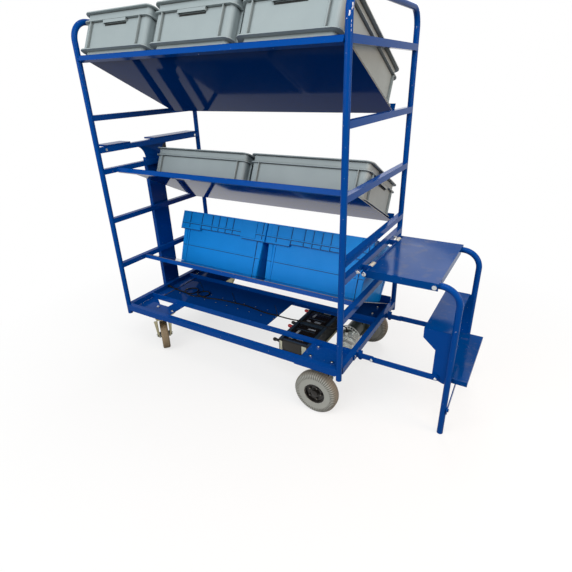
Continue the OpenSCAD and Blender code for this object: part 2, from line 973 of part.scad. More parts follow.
module half_shaft(inner_y) {
    color(steel) {
        rod_y([axle_x, drive_y + 2, axle_z], shaft_d, inner_y - drive_y - 2);
        rod_y([axle_x, drive_y + drive_w - 2, axle_z], shaft_d + 8, bearing_y - bearing_w / 2 + 8
            - drive_y - drive_w);
    }
}

module front_drive_tyre() { drive_tyre(); }
module front_drive_rim() { drive_rim(); }
module front_half_shaft() { half_shaft(gearbox_y + gearbox_ring_w / 2 - 2); }
module rear_drive_tyre() { rear_half() drive_tyre(); }
module rear_drive_rim() { rear_half() drive_rim(); }
module rear_half_shaft() { rear_half() half_shaft(frame_w - gearbox_y - gearbox_ring_w / 2 - 2); }

// Bearing bracket: a flange under the plate, a web with two gussets and a boss round the shaft
module axle_bearing() {
    web_t = 14;
    gusset_t = 8;
    y0 = bearing_y - bearing_w / 2;
    difference() {
        union() {
            box([axle_x - bearing_l / 2, y0, plate_z - bearing_t],
                [axle_x + bearing_l / 2, y0 + bearing_w, plate_z]);
            box([axle_x - bearing_boss_d / 2, bearing_y - web_t / 2, axle_z],
                [axle_x + bearing_boss_d / 2, bearing_y + web_t / 2, plate_z - bearing_t + seat_gap]);
            box([axle_x - gusset_t / 2, y0 + 14, axle_z + bearing_boss_d / 2 - 4],
                [axle_x + gusset_t / 2, y0 + bearing_w - 14, plate_z - bearing_t + seat_gap]);
            rod_y([axle_x, y0 + 12, axle_z], bearing_boss_d, bearing_w - 24);
        }
        rod_y([axle_x, y0, axle_z], shaft_d + 2 * run_gap, bearing_w);
        at_plate_holes(axle_x, bearing_y, hole_y)
            translate([0, 0, plate_z - bearing_t - over])
                cylinder(d = bolt_d + bolt_play, h = bearing_t + 2 * over);
    }
}

module axle_bearings() {
    color("#55585a")
        both_halves()
            axle_bearing();
}

// Gearbox: a flanged ring with a domed front cover and a nose, round the two half shafts
module gearbox() {
    flange_t = 8;
    rib_t = 5;
    color("#b9bcb6")
        difference() {
            union() {
                rod_y([gearbox_x, gearbox_y, gearbox_z], gearbox_d - 8, gearbox_ring_w);
                for (y = [gearbox_y, gearbox_y + gearbox_ring_w - flange_t])
                    rod_y([gearbox_x, y, gearbox_z], gearbox_d, flange_t);
                rod_y([gearbox_x, gearbox_y - cover_l, gearbox_z], cover_d, cover_l + over);
                rod_y([gearbox_x, gearbox_y - cover_l - nose_l, gearbox_z], nose_d, nose_l + over);
                for (i = [0 : 5])
                    translate([gearbox_x, gearbox_y, gearbox_z])
                        rotate([0, 60 * i + 30, 0])
                            box([cover_d / 2 - over, -cover_l, -rib_t / 2],
                                [cover_d / 2 + 6, over, rib_t / 2]);
                rod_z([gland[0], gland[1], gearbox_z], gland_d, gland[2] - gearbox_z);
            }
            rod_y([axle_x, gearbox_y - cover_l - nose_l - over, axle_z], shaft_d + 2 * run_gap,
                cover_l + nose_l + gearbox_ring_w + 2 * over);
        }
}

module drive_motor() {
    color("#3a403e") {
        rod_y([motor_x, motor_y, motor_z], motor_d, motor_l);
        rod_y([motor_x, motor_y + motor_l, motor_z], motor_d - 2 * motor_cap_l, motor_cap_l);
    }
}

// Batteries lying on their sides, with their terminal ends towards -X
module battery(y0) {
    lid = 18;
    step = 2;
    x1 = battery_x + battery_l;
    z0 = battery_top - battery_h;
    color(black) {
        box([battery_x + lid, y0 + step, z0 + step], [x1, y0 + battery_w - step, battery_top - step]);
        box([battery_x, y0, z0], [battery_x + lid, y0 + battery_w, battery_top]);
        box([x1 - lid, y0, z0], [x1, y0 + battery_w, battery_top]);
        for (y = [y0 + terminal_inset, y0 + battery_w - terminal_inset])
            rod_x([battery_x - terminal_l, y, battery_top - terminal_drop], terminal_d, terminal_l + over);
    }
}

module front_battery() {
    battery(battery_mid_y - seat_gap / 2 - battery_w);
}

module rear_battery() {
    battery(battery_mid_y + seat_gap / 2);
}

// Shallow carrier tray under the batteries, hung from the inner rails by four straps
module battery_carrier() {
    y0 = battery_mid_y - battery_w - 2;
    y1 = battery_mid_y + battery_w + 2;
    x0 = battery_x - 2;
    x1 = battery_x + battery_l + 2;
    z0 = battery_top - battery_h - carrier_t;
    color(zinc) {
        difference() {
            box([x0 - carrier_t, y0 - carrier_t, z0], [x1 + carrier_t, y1 + carrier_t, z0 + carrier_lip]);
            box([x0, y0, z0 + carrier_t], [x1, y1, z0 + carrier_lip + over]);
        }
        for (y = [bay_front + angle_leg - strap_w, bay_rear - angle_leg],
            x = [x0 - 2 * carrier_t, x1 + carrier_t])
            box([x, y, z0], [x + carrier_t, y + strap_w, rail_z]);
    }
}

// Supply cable: a round tube swept along the route
function cable_at(i) = [CABLE_ROUTE[i][0], CABLE_ROUTE[i][1], floor_z + floor_t + CABLE_ROUTE[i][2]];
CABLE_LAST = len(CABLE_ROUTE) - 1;
function cable_count(i, pitch) = max(1, round(norm(cable_at(i + 1) - cable_at(i)) / pitch));
function cable_points(pitch) = concat(
    [for (i = [0 : CABLE_LAST - 1], n = cable_count(i, pitch), k = [0 : n - 1])
        spline(cable_at(max(i - 1, 0)), cable_at(i), cable_at(i + 1),
            cable_at(min(i + 2, CABLE_LAST)), k / n)],
    [cable_at(CABLE_LAST)]);
CABLE_PATH = cable_points(3 * cable_d);

// Least gap of the cable to itself, between points at least three diameters apart along it
CABLE_FINE = cable_points(cable_d / 2);
cable_skip = 7;
cable_gap = min([for (i = [0 : len(CABLE_FINE) - 1], j = [i + cable_skip : 1 : len(CABLE_FINE) - 1])
    norm(CABLE_FINE[i] - CABLE_FINE[j])]) - cable_d;
echo(str("Least gap of the supply cable to itself: ", cable_gap, " mm"));

function unit(v) = v / norm(v);
function cable_way(i) = i == 0 ? [1, 0, 0]
    : i == len(CABLE_PATH) - 1 ? [0, 0, -1] : unit(CABLE_PATH[i + 1] - CABLE_PATH[i - 1]);
// A side that stays level along the run and turns with the last drop into the gland
function cable_side(i) = let (w = cable_way(i)) abs(w[2]) > 0.999 ? [0.55, -0.83, 0] / norm([0.55, -0.83, 0])
    : unit(cross(w, [0, 0, 1]));

module supply_cable() {
    sides = 8;
    rings = len(CABLE_PATH);
    points = [for (i = [0 : rings - 1], k = [0 : sides - 1])
        let (w = cable_way(i), s = cable_side(i), u = cross(s, w))
            CABLE_PATH[i] + cable_d / 2 * (cos(360 * k / sides) * s + sin(360 * k / sides) * u)];
    walls = [for (i = [0 : rings - 2], k = [0 : sides - 1], half = [0, 1])
        let (a = i * sides + k, b = i * sides + (k + 1) % sides)
            half == 0 ? [a, b, b + sides] : [a, b + sides, a + sides]];
    ends = [[for (k = [sides - 1 : -1 : 0]) k], [for (k = [0 : sides - 1]) (rings - 1) * sides + k]];
    color(black)
        polyhedron(points, concat(walls, ends));
}

// Folding step: a hinge rod on a beam, a platform, two legs with treads and two links
module hinge_beam() {
    x0 = frame_l + rung_t / 2;
    color(frame_blue) {
        rung(frame_l, beam_z);
        for (y = hinge_bracket_ys)
            difference() {
                union() {
                    box([x0, y, hinge_z - lug_r + 2], [hinge_x, y + hinge_bracket_t, hinge_z + lug_r - 2]);
                    rod_y([hinge_x, y, hinge_z], 2 * lug_r - 4, hinge_bracket_t);
                }
                rod_y([hinge_x, y - over, hinge_z], rod_d, hinge_bracket_t + 2 * over);
            }
    }
}

module hinge_rod() {
    head_l = 6;
    y0 = platform_y - seat_gap;
    color(steel) {
        rod_y([hinge_x, y0, hinge_z], rod_d, platform_w + 2 * seat_gap);
        for (y = [y0 - head_l, frame_w - y0])
            rod_y([hinge_x, y, hinge_z], 18, head_l);
    }
}

module hinge_bushes() {
    color("#dcd6c2")
        for (y = hinge_bracket_ys)
            difference() {
                rod_y([hinge_x, y + hinge_bracket_t, hinge_z], bush_d, bush_l);
                rod_y([hinge_x, y + hinge_bracket_t - over, hinge_z], rod_d, bush_l + 2 * over);
            }
}

module step_platform() {
    low = platform_top - platform_h;
    end_y = leg_y + tube_r + 6;
    color(frame_blue)
        difference() {
            union() {
                box([platform_start, platform_y, platform_top - step_t],
                    [platform_end, frame_w - platform_y, platform_top]);
                both_halves() {
                    box([hinge_x, platform_y, low], [platform_end, platform_y + step_t, platform_top]);
                    rod_y([hinge_x, platform_y, hinge_z], 2 * lug_r, step_t);
                }
                box([platform_end - step_t, end_y, low], [platform_end, frame_w - end_y, platform_top]);
            }
            for (y = [platform_y, frame_w - platform_y - step_t]) {
                rod_y([hinge_x, y - over, hinge_z], rod_d + 2 * run_gap, step_t + 2 * over);
                rod_y([pivot_x, y - over, hinge_z], link_pin_d, step_t + 2 * over);
            }
        }
}

module leg_pivot_bolts() {
    head_l = 6;
    l = leg_y + tube_r + 1.5 - platform_y;
    color(steel)
        both_halves() {
            rod_y([pivot_x, platform_y, hinge_z], link_pin_d, l);
            rod_y([pivot_x, platform_y - head_l, hinge_z], 18, head_l);
            rod_y([pivot_x, platform_y + step_t, hinge_z], 18,
                leg_y - tube_r - platform_y - step_t - seat_gap);
        }
}

// Leg: upright tube, bend and a short run with an eye round the pivot
module step_leg_run(d, extra) {
    z = hinge_z - leg_bend_r;
    x = leg_x - leg_bend_r;
    rod_z([leg_x, leg_y, -extra], d, z + extra);
    translate([x, leg_y, z])
        rotate([90, 0, 0])
            rotate_extrude(angle = 90)
                translate([leg_bend_r, 0])
                    circle(d = d);
    rod_x([pivot_x + extra * tube_r, leg_y, hinge_z], d, x - pivot_x - extra * tube_r);
}

module step_leg() {
    difference() {
        union() {
            step_leg_run(tube_d, 0);
            rod_y([pivot_x, leg_y - tube_r, hinge_z], tube_d, tube_d);
        }
        step_leg_run(tube_d - 2 * tube_wall, over);
        rod_y([pivot_x, leg_y - tube_d, hinge_z], link_pin_d + 2 * run_gap, 2 * tube_d);
    }
}

module step_legs() {
    color(frame_blue)
        both_halves()
            step_leg();
}

module tread(x, z, depth) {
    y0 = cheek_y + cheek_t;
    box([x, y0, z - step_t], [x + depth, y0 + tread_w, z]);
    for (edge = [x, x + depth - step_t])
        box([edge, y0, z - tread_fold], [edge + step_t, y0 + tread_w, z]);
    for (end = [y0, y0 + tread_w - step_t])
        box([x, end, z - tread_fold], [x + depth, end + step_t, z]);
}

module upper_tread() {
    color(frame_blue)
        tread(upper_tread_x, upper_tread_z, upper_tread_d);
}

module lower_tread() {
    color(frame_blue)
        tread(lower_tread_x, lower_tread_z, lower_tread_d);
}

// Cheek plate between a leg and the treads, with the link's pin
module step_cheek() {
    top = upper_tread_z - 3;
    foot = link_z - 16;
    nose = upper_tread_x + 1;
    pin_l = cheek_y + cheek_t - link_y + 2;
    difference() {
        translate([0, cheek_y + cheek_t, 0])
            rotate([90, 0, 0])
                linear_extrude(cheek_t)
                    polygon([[nose, top], [nose, top - 39], [lower_tread_x, upper_tread_z - 88],
                        [lower_tread_x, foot + 8], [link_end_x + 27, foot - 8], [leg_x, foot - 8],
                        [leg_x, top]]);
        rod_y([link_end_x, cheek_y - over, link_z], link_pin_d, cheek_t + 2 * over);
    }
    rod_y([link_end_x, link_y - 2, link_z], link_pin_d, pin_l);
    rod_y([link_end_x, link_y - 2 - 5, link_z], 17, 5);
}

module step_cheeks() {
    color(frame_blue)
        both_halves()
            step_cheek();
}

module leg_brace() {
    run = leg_ys[1] - leg_ys[0];
    rise = brace_high_z - brace_low_z;
    l = norm([run, rise]);
    color(frame_blue)
        translate([leg_x + tube_r, leg_ys[0], brace_low_z])
            rotate([atan2(rise, run), 0, 0]) {
                box([0, -brace_h / 2, -brace_h / 2], [brace_t, l + brace_h / 2, brace_h / 2]);
                for (y = [0, l])
                    rod_x([brace_t, y, 0], 14, 4);
            }
}

module link_bar() {
    difference() {
        union() {
            box([link_x, link_y, link_z - link_h / 2], [link_end_x, link_y + link_t, link_z + link_h / 2]);
            for (x = [link_x, link_end_x])
                rod_y([x, link_y, link_z], link_h, link_t);
        }
        rod_y([link_x, link_y - over, link_z], link_pin_d + 2 * run_gap, link_t + 2 * over);
        rod_y([link_end_x, link_y - over, link_z], link_pin_d + 2 * link_gap, link_t + 2 * over);
    }
}

module link_bars() {
    color(frame_blue)
        both_halves()
            link_bar();
}

// Bracket on the end rail: a foot against the rail, an arm inside the link and the link's pin
module link_bracket() {
    x0 = frame_l + rail_d / 2;
    arm_y = link_y + link_t + seat_gap;
    tab_x = x0 + 20;
    tab_w = 20;
    tab_drop = 11;
    tab_rise = 27;
    box([x0, link_y - 22, rail_z], [x0 + bracket_t, arm_y + bracket_t, rail_top]);
    box([x0, arm_y, link_z - link_h / 2], [link_x, arm_y + bracket_t, link_z + link_h / 2]);
    rod_y([link_x, arm_y, link_z], link_h, bracket_t);
    box([tab_x - tab_w / 2, arm_y, link_z - tab_drop],
        [tab_x + tab_w / 2, arm_y + bracket_t, link_z + tab_rise]);
    rod_y([tab_x, arm_y, link_z - tab_drop], tab_w, bracket_t);
    rod_y([link_x, link_y - 1, link_z], link_pin_d, arm_y - link_y + 1);
    rod_y([link_x, link_y - 6, link_z], 17, 6 - seat_gap);
}

module link_brackets() {
    color(frame_blue)
        both_halves()
            link_bracket();
}

// Grey stacking tote: foot, walls with corner ribs, three rims and a hand grip on each short side
// It is drawn with its long side along X.
module grey_tote() {
    rim_t = 4;
    corner = 18;
    rib_t = 3.5;
    rib_at = 41;
    grip_w = 132;
    grip_h = 13;
    wall_l = tote_l - 2 * wall_inset;
    wall_w = tote_w - 2 * wall_inset;
    foot_l = tote_l - 2 * foot_inset;
    foot_w = tote_w - 2 * foot_inset;
    rim_z = tote_h - skirt_h;
    rim_l = tote_l - 2 * rim_inset;
    rim_w = tote_w - 2 * rim_inset;
    rib_out = wall_inset - rim_inset - 1;
    color(tote_grey)
        difference() {
            union() {
                round_block(foot_l, foot_w, foot_h + over, corner);
                translate([0, 0, foot_h])
                    round_block(wall_l, wall_w, tote_h - foot_h, corner);
                for (z = [foot_h, rim_z])
                    translate([0, 0, z])
                        round_block(rim_l, rim_w, rim_t, corner + wall_inset - rim_inset);
                translate([0, 0, tote_h - rim_t])
                    round_block(tote_l, tote_w, rim_t, corner + wall_inset);
                for (side = [-1, 1], end = [-1, 1]) {
                    translate([end * (wall_l / 2 - rib_at) - rib_t / 2, side * wall_w / 2 - rib_out, foot_h])
                        cube([rib_t, 2 * rib_out, rim_z - foot_h + rim_t / 2]);
                    translate([side * wall_l / 2 - rib_out, end * (wall_w / 2 - rib_at) - rib_t / 2, foot_h])
                        cube([2 * rib_out, rib_t, rim_z - foot_h + rim_t / 2]);
                }
                for (side = [-1, 1])
                    translate([side * (wall_l + rib_out - over) / 2, 0, rim_z - (grip_h - over) / 2])
                        cube([rib_out + over, grip_w, grip_h + over], center = true);
            }
            // Hollow under each grip
            for (side = [-1, 1])
                translate([side * (wall_l + rib_out - tote_wall) / 2, 0, rim_z - (grip_h + over) / 2])
                    cube([rib_out - tote_wall, grip_w - 2 * tote_wall, grip_h + over], center = true);
            translate([0, 0, tote_wall])
                round_block(foot_l - 2 * tote_wall, foot_w - 2 * tote_wall, tote_h, corner - tote_wall);
            translate([0, 0, foot_h + tote_wall])
                round_block(wall_l - 2 * tote_wall, wall_w - 2 * tote_wall, tote_h, corner - tote_wall);
        }
}

// Seats a tote on its tray against the rear lip: half is its reach towards the lip
module seat_tote(bar_y, rung_index, x, depth, half) {
    on_tray(bar_y, rung_index)
        translate([x, depth - tray_t - seat_gap - half, bar_s / 2 + tray_t + seat_gap])
            children();
}

module top_tote(i) {
    seat_tote(top_bar_y, 4, (i - 1) * (tote_w + tote_gap), top_depth, tote_l / 2 - rim_inset)
        rotate(90)
            grey_tote();
}

module middle_tote(i) {
    seat_tote(mid_bar_y, 2, (i - 0.5) * (tote_l + tote_gap), mid_depth, tote_w / 2 - rim_inset)
        grey_tote();
}

// Block whose walls lean out by the same amount all round, with cones at its corners
module flared_block(l, w, h, r, lean) {
    cx = l / 2 - r;
    cy = w / 2 - r;
    translate([-cx, 0, 0])
        rotate([90, 0, 90])
            linear_extrude(2 * cx)
                polygon([[-w / 2, 0], [w / 2, 0], [w / 2 + lean, h], [-w / 2 - lean, h]]);
    translate([0, cy, 0])
        rotate([90, 0, 0])
            linear_extrude(2 * cy)
                polygon([[-l / 2, 0], [l / 2, 0], [l / 2 + lean, h], [-l / 2 - lean, h]]);
    for (x = [-cx, cx], y = [-cy, cy])
        translate([x, y, 0])
            cylinder(r1 = r, r2 = r + lean, h = h);
}

// Hollow collar, open underneath: a top, an outer skirt and the wall inside it
module blue_collar(low, high) {
    difference() {
        translate([0, 0, low])
            round_block(blue_l - 2 * blue_rib, blue_w - 2 * blue_rib, high - low, blue_corner);
        translate([0, 0, low - over])
            round_block(blue_l - 2 * blue_rib - 2 * tote_wall, blue_w - 2 * blue_rib - 2 * tote_wall,
                high - low - tote_wall + over, blue_corner - tote_wall);
    }
}

// Blue tote with a tapered body and a ribbed collar with a stepped lower edge
module blue_tote() {
    base_l = blue_l - 2 * blue_taper;
    base_w = blue_w - 2 * blue_taper;
    lean = blue_taper - collar_step;
    band_z = blue_h - collar_h;
    line_z = band_z + 37;
    hoop_z = 97;
    post_w = 9;
    post_h = band_z + blue_deep;
    post_lean = lean * post_h / (blue_h - over);
    hoop_lean = blue_rib / 2 + lean * hoop_z / blue_h;
    rim_t = 5;
    color(tote_blue)
        difference() {
            union() {
                flared_block(base_l, base_w, blue_h - over, blue_corner, lean);
                // The skirt hangs lower near the ends than in the middle
                blue_collar(band_z + blue_deep, blue_h);
                intersection() {
                    blue_collar(band_z, blue_h);
                    for (x = [-1, 1])
                        translate([x * (blue_l - blue_end) / 2 - blue_end / 2, -blue_w / 2, band_z])
                            cube([blue_end, blue_w, collar_h]);
                }
                for (z = [line_z, blue_h - rim_t])
                    difference() {
                        translate([0, 0, z])
                            round_block(blue_l, blue_w, rim_t, blue_corner);
                        translate([0, 0, z - over])
                            round_block(blue_l - 4 * blue_rib, blue_w - 4 * blue_rib, rim_t + 2 * over,
                                blue_corner - blue_rib);
                    }
                translate([0, 0, hoop_z])
                    round_block(base_l + 2 * hoop_lean, base_w + 2 * hoop_lean, rim_t, blue_corner);
                // The rear side has the front's ribs and panel turned end for end
                for (side = [-1, 1]) {
                    for (x = BLUE_RIBS)
                        translate([-side * x * blue_l - tote_wall / 2, side * (blue_w / 2 - blue_rib) - blue_rib,
                            band_z + blue_deep])
                            cube([tote_wall, 2 * blue_rib, collar_h - blue_deep]);
                    translate([side > 0 ? -blue_panel[1] : blue_panel[0],
                        side * (blue_w / 2 - blue_rib) - blue_rib, band_z + blue_deep])
                        cube([blue_panel[1] - blue_panel[0], 2 * blue_rib, collar_h - blue_deep]);
                }
                // Corner posts on the front wall
                for (x = [-1, 1])
                    translate([x * (base_l / 2 - blue_corner) - post_w / 2, 0, 0])
                        rotate([90, 0, 90])
                            linear_extrude(post_w)
                                polygon([[-base_w / 2 - blue_rib, 0], [-base_w / 2 + over, 0],
                                    [-base_w / 2 + over - post_lean, post_h],
                                    [-base_w / 2 - blue_rib - post_lean, post_h]]);
            }
            translate([0, 0, blue_floor])
                flared_block(base_l - 2 * tote_wall, base_w - 2 * tote_wall, blue_h, blue_corner - tote_wall,
                    lean);
        }
}

module blue_tote_at(i) {
    seat_tote(low_bar_y, 0, (i - 0.5) * (blue_l + blue_gap), low_depth, blue_half)
        blue_tote();
}

module top_tote_left() { top_tote(0); }
module top_tote_middle() { top_tote(1); }
module top_tote_right() { top_tote(2); }
module middle_tote_left() { middle_tote(0); }
module middle_tote_right() { middle_tote(1); }
module blue_tote_left() { blue_tote_at(0); }
module blue_tote_right() { blue_tote_at(1); }

place() left_hoop();
place() right_hoop();
place() left_rungs();
place() right_rungs();
place() long_rails();
place() end_rails();
place() inner_rails();
place() bay_floor();
place() caster_plates();
place() drive_plates();
place() frame_bolts();
place() top_tray();
place() middle_tray();
place() lower_tray();
place() tray_tubes();
place() column();
place() console_bar();
place() console_covers();
place() control_box();
place() stop_button();
place() front_caster_head();
place() front_caster_fork();
place() front_caster_hub();
place() front_caster_tyre();
place() rear_caster_head();
place() rear_caster_fork();
place() rear_caster_hub();
place() rear_caster_tyre();
place() front_drive_tyre();
place() front_drive_rim();
place() front_half_shaft();
place() rear_drive_tyre();
place() rear_drive_rim();
place() rear_half_shaft();
place() axle_bearings();
place() gearbox();
place() drive_motor();
place() front_battery();
place() rear_battery();
place() battery_carrier();
place() supply_cable();
place() hinge_beam();
place() hinge_rod();
place() hinge_bushes();
place() step_platform();
place() leg_pivot_bolts();
place() step_legs();
place() upper_tread();
place() lower_tread();
place() step_cheeks();
place() leg_brace();
place() link_bars();
place() link_brackets();
place() top_tote_left();
place() top_tote_middle();
place() top_tote_right();
place() middle_tote_left();
place() middle_tote_right();
place() blue_tote_left();
place() blue_tote_right();
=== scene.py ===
"""Tote picking trolley: finishes, small fittings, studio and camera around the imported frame."""
import json
import logging
import math
from dataclasses import dataclass, field
from enum import Enum
from functools import partial
from typing import Any, Iterable, Sequence

import bmesh
import bpy
from mathutils import Matrix, Vector


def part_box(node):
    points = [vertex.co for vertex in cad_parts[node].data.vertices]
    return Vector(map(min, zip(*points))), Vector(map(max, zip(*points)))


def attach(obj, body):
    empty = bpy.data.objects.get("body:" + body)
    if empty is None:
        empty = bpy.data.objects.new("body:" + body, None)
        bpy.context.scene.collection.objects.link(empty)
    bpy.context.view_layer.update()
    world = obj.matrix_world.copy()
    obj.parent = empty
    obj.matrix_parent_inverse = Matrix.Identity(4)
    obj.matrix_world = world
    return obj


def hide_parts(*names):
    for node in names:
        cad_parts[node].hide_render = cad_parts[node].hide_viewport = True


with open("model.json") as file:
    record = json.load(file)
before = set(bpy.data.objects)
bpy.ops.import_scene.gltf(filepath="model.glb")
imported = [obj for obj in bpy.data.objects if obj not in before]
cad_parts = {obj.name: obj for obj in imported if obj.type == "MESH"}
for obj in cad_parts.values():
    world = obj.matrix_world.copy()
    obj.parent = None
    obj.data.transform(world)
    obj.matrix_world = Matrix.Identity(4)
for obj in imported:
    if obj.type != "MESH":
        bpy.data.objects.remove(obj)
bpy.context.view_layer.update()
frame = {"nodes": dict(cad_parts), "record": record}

log = logging.getLogger("trolley")

Pair = tuple[float, float]
Spot = tuple[float, float, float]
Profile = Sequence[Pair]
Tree = bpy.types.NodeTree
Socket = bpy.types.NodeSocket
Marks = list[tuple[Socket, str]]

MM = 0.001
TUBE_RADIUS = 12.5
FRAME_WIDTH = 704.0
BAY_FLOOR = 250.0
ENDS = (("front", -1), ("rear", 1))
SHARP_ANGLE = 38.0
SMOOTHEST = 0.03
# Patch size in millimetres, detail, and where in the pattern a mark starts and is full
DUST_SPECKS = (9, 6.0, 0.3, 0.7)
SHOE_SMEARS = (45, 6.0, 0.52, 0.72)
RUB_LINES = (5, 4.0, 0.64, 0.78)
CHIP_FLECKS = (11, 5.0, 0.71, 0.74)
# Where a face counts as facing up, and the openness of an inner corner at which its painted shade starts and
# is full
FACING_UP = (0.55, 0.95)
SHADED_CORNER = (0.86, 0.45)
# How far the painted shade in inner corners reaches, in millimetres
CORNER_SHADE_REACH = 12.0
# Share of the radius and height in millimetres along the plated dome of a pin
DOME = ((0.0, 0.05), (1.0, 0.05), (1.0, 1.2), (0.75, 2.1), (0.4, 2.6), (0.0, 2.8))
# The builder's millimetres start at the front left upright's foot, on the floor
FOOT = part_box("left_hoop")[0] + Vector((TUBE_RADIUS, TUBE_RADIUS, 0.0)) * MM
X_AXIS, Y_AXIS, Z_AXIS = Vector((1, 0, 0)), Vector((0, 1, 0)), Vector((0, 0, 1))


def at(x: float, y: float, z: float) -> Vector:
    """Point of the row frame, in metres.

    Args:
        x: Millimetres to the right of the left uprights' centres.
        y: Millimetres behind the front uprights' centres.
        z: Millimetres above the floor.

    Returns:
        The same point in the row frame.
    """
    return Vector((FOOT.x + x * MM, FOOT.y + y * MM, z * MM))


def raised(band: Pair, by: float) -> Pair:
    """The two ends of a band, moved on."""
    return band[0] + by, band[1] + by


def corners_of(geometry: Iterable[Any]) -> list[bmesh.types.BMVert]:
    """The corners among some mesh elements."""
    return [g for g in geometry if isinstance(g, bmesh.types.BMVert)]


def linear(hex_colour: str) -> tuple[float, float, float, float]:
    """Linear colour of an sRGB hex value.

    Args:
        hex_colour: Six hex digits after a hash.

    Returns:
        Red, green, blue and alpha for a colour socket.
    """
    parts = [int(hex_colour[i:i + 2], 16) / 255 for i in (1, 3, 5)]
    red, green, blue = [c / 12.92 if c <= 0.04045 else ((c + 0.055) / 1.055) ** 2.4 for c in parts]
    return red, green, blue, 1.0


def new_object(name: str, data: bpy.types.ID) -> bpy.types.Object:
    """Puts a new object into the scene.

    Args:
        name: Its name.
        data: Its mesh, curve, lamp or camera.

    Returns:
        The object.
    """
    made = bpy.data.objects.new(name, data)
    bpy.context.scene.collection.objects.link(made)
    return made


def add_node(tree: Tree, kind: str, sets: dict[Any, Any] | None = None,
             links: dict[Any, Socket] | None = None) -> bpy.types.Node:
    """Adds a node with its settings and links.

    Args:
        tree: The node tree it goes into.
        kind: The node's type after "ShaderNode".
        sets: Attributes by name, or input values by socket name or number.
        links: Sockets that feed the node's inputs, by socket name or number.

    Returns:
        The new node.
    """
    node = tree.nodes.new("ShaderNode" + kind)
    for key, value in (sets or {}).items():
        if isinstance(key, int) or key in node.inputs:
            node.inputs[key].default_value = value
        else:
            setattr(node, key, value)
    for key, socket in (links or {}).items():
        tree.links.new(socket, node.inputs[key])
    return node


def noise(tree: Tree, place: Socket, size: float, detail: float) -> Socket:
    """A cloudy pattern with patches of the given size in millimetres."""
    sets = {"Scale": 1 / (size * MM), "Detail": detail}
    return add_node(tree, "TexNoise", sets, {"Vector": place}).outputs["Fac"]


def ramp(tree: Tree, value: Socket, low: float, high: float, top: float = 1.0, bottom: float = 0.0) -> Socket:
    """A value that runs from bottom to top while another runs from low to high."""
    return add_node(tree, "MapRange", {1: low, 2: high, 3: bottom, 4: top}, {0: value}).outputs[0]


def patchy(tree: Tree, place: Socket, pattern: Sequence[float], share: float = 1.0) -> Socket:
    """A share that fills the patches of a cloudy pattern."""
    size, detail, low, high = pattern
    return ramp(tree, noise(tree, place, size, detail), low, high, share)


def combine(tree: Tree, operation: str, first: Socket, second: Socket | float = 0.0) -> Socket:
    """Works out one value from two.

    Args:
        tree: The node tree it goes into.
        operation: The sum to do.
        first: The first value.
        second: The second value, or a number.

    Returns:
        The result's socket.
    """
    if isinstance(second, float):
        return add_node(tree, "Math", {"operation": operation, 1: second}, {0: first}).outputs[0]
    return add_node(tree, "Math", {"operation": operation}, {0: first, 1: second}).outputs[0]


def seen_share(tree: Tree) -> Socket:
    """What is seen straight, in a gloss or through a clear body.

    Args:
        tree: The node tree it goes into.

    Returns:
        A share, 1 for those rays and 0 for the rest.
    """
    rays = add_node(tree, "LightPath").outputs
    seen = combine(tree, "MAXIMUM", rays["Is Camera Ray"], rays["Is Glossy Ray"])
    return combine(tree, "MAXIMUM", seen, rays["Is Transmission Ray"])


class Wear(Enum):
    """What use has left on a surface."""

    CLEAN = "clean"
    DUST = "dust on what faces up"
    SCUFFS = "pale rub marks"
    SMEARS = "brown smears on what is stepped on"


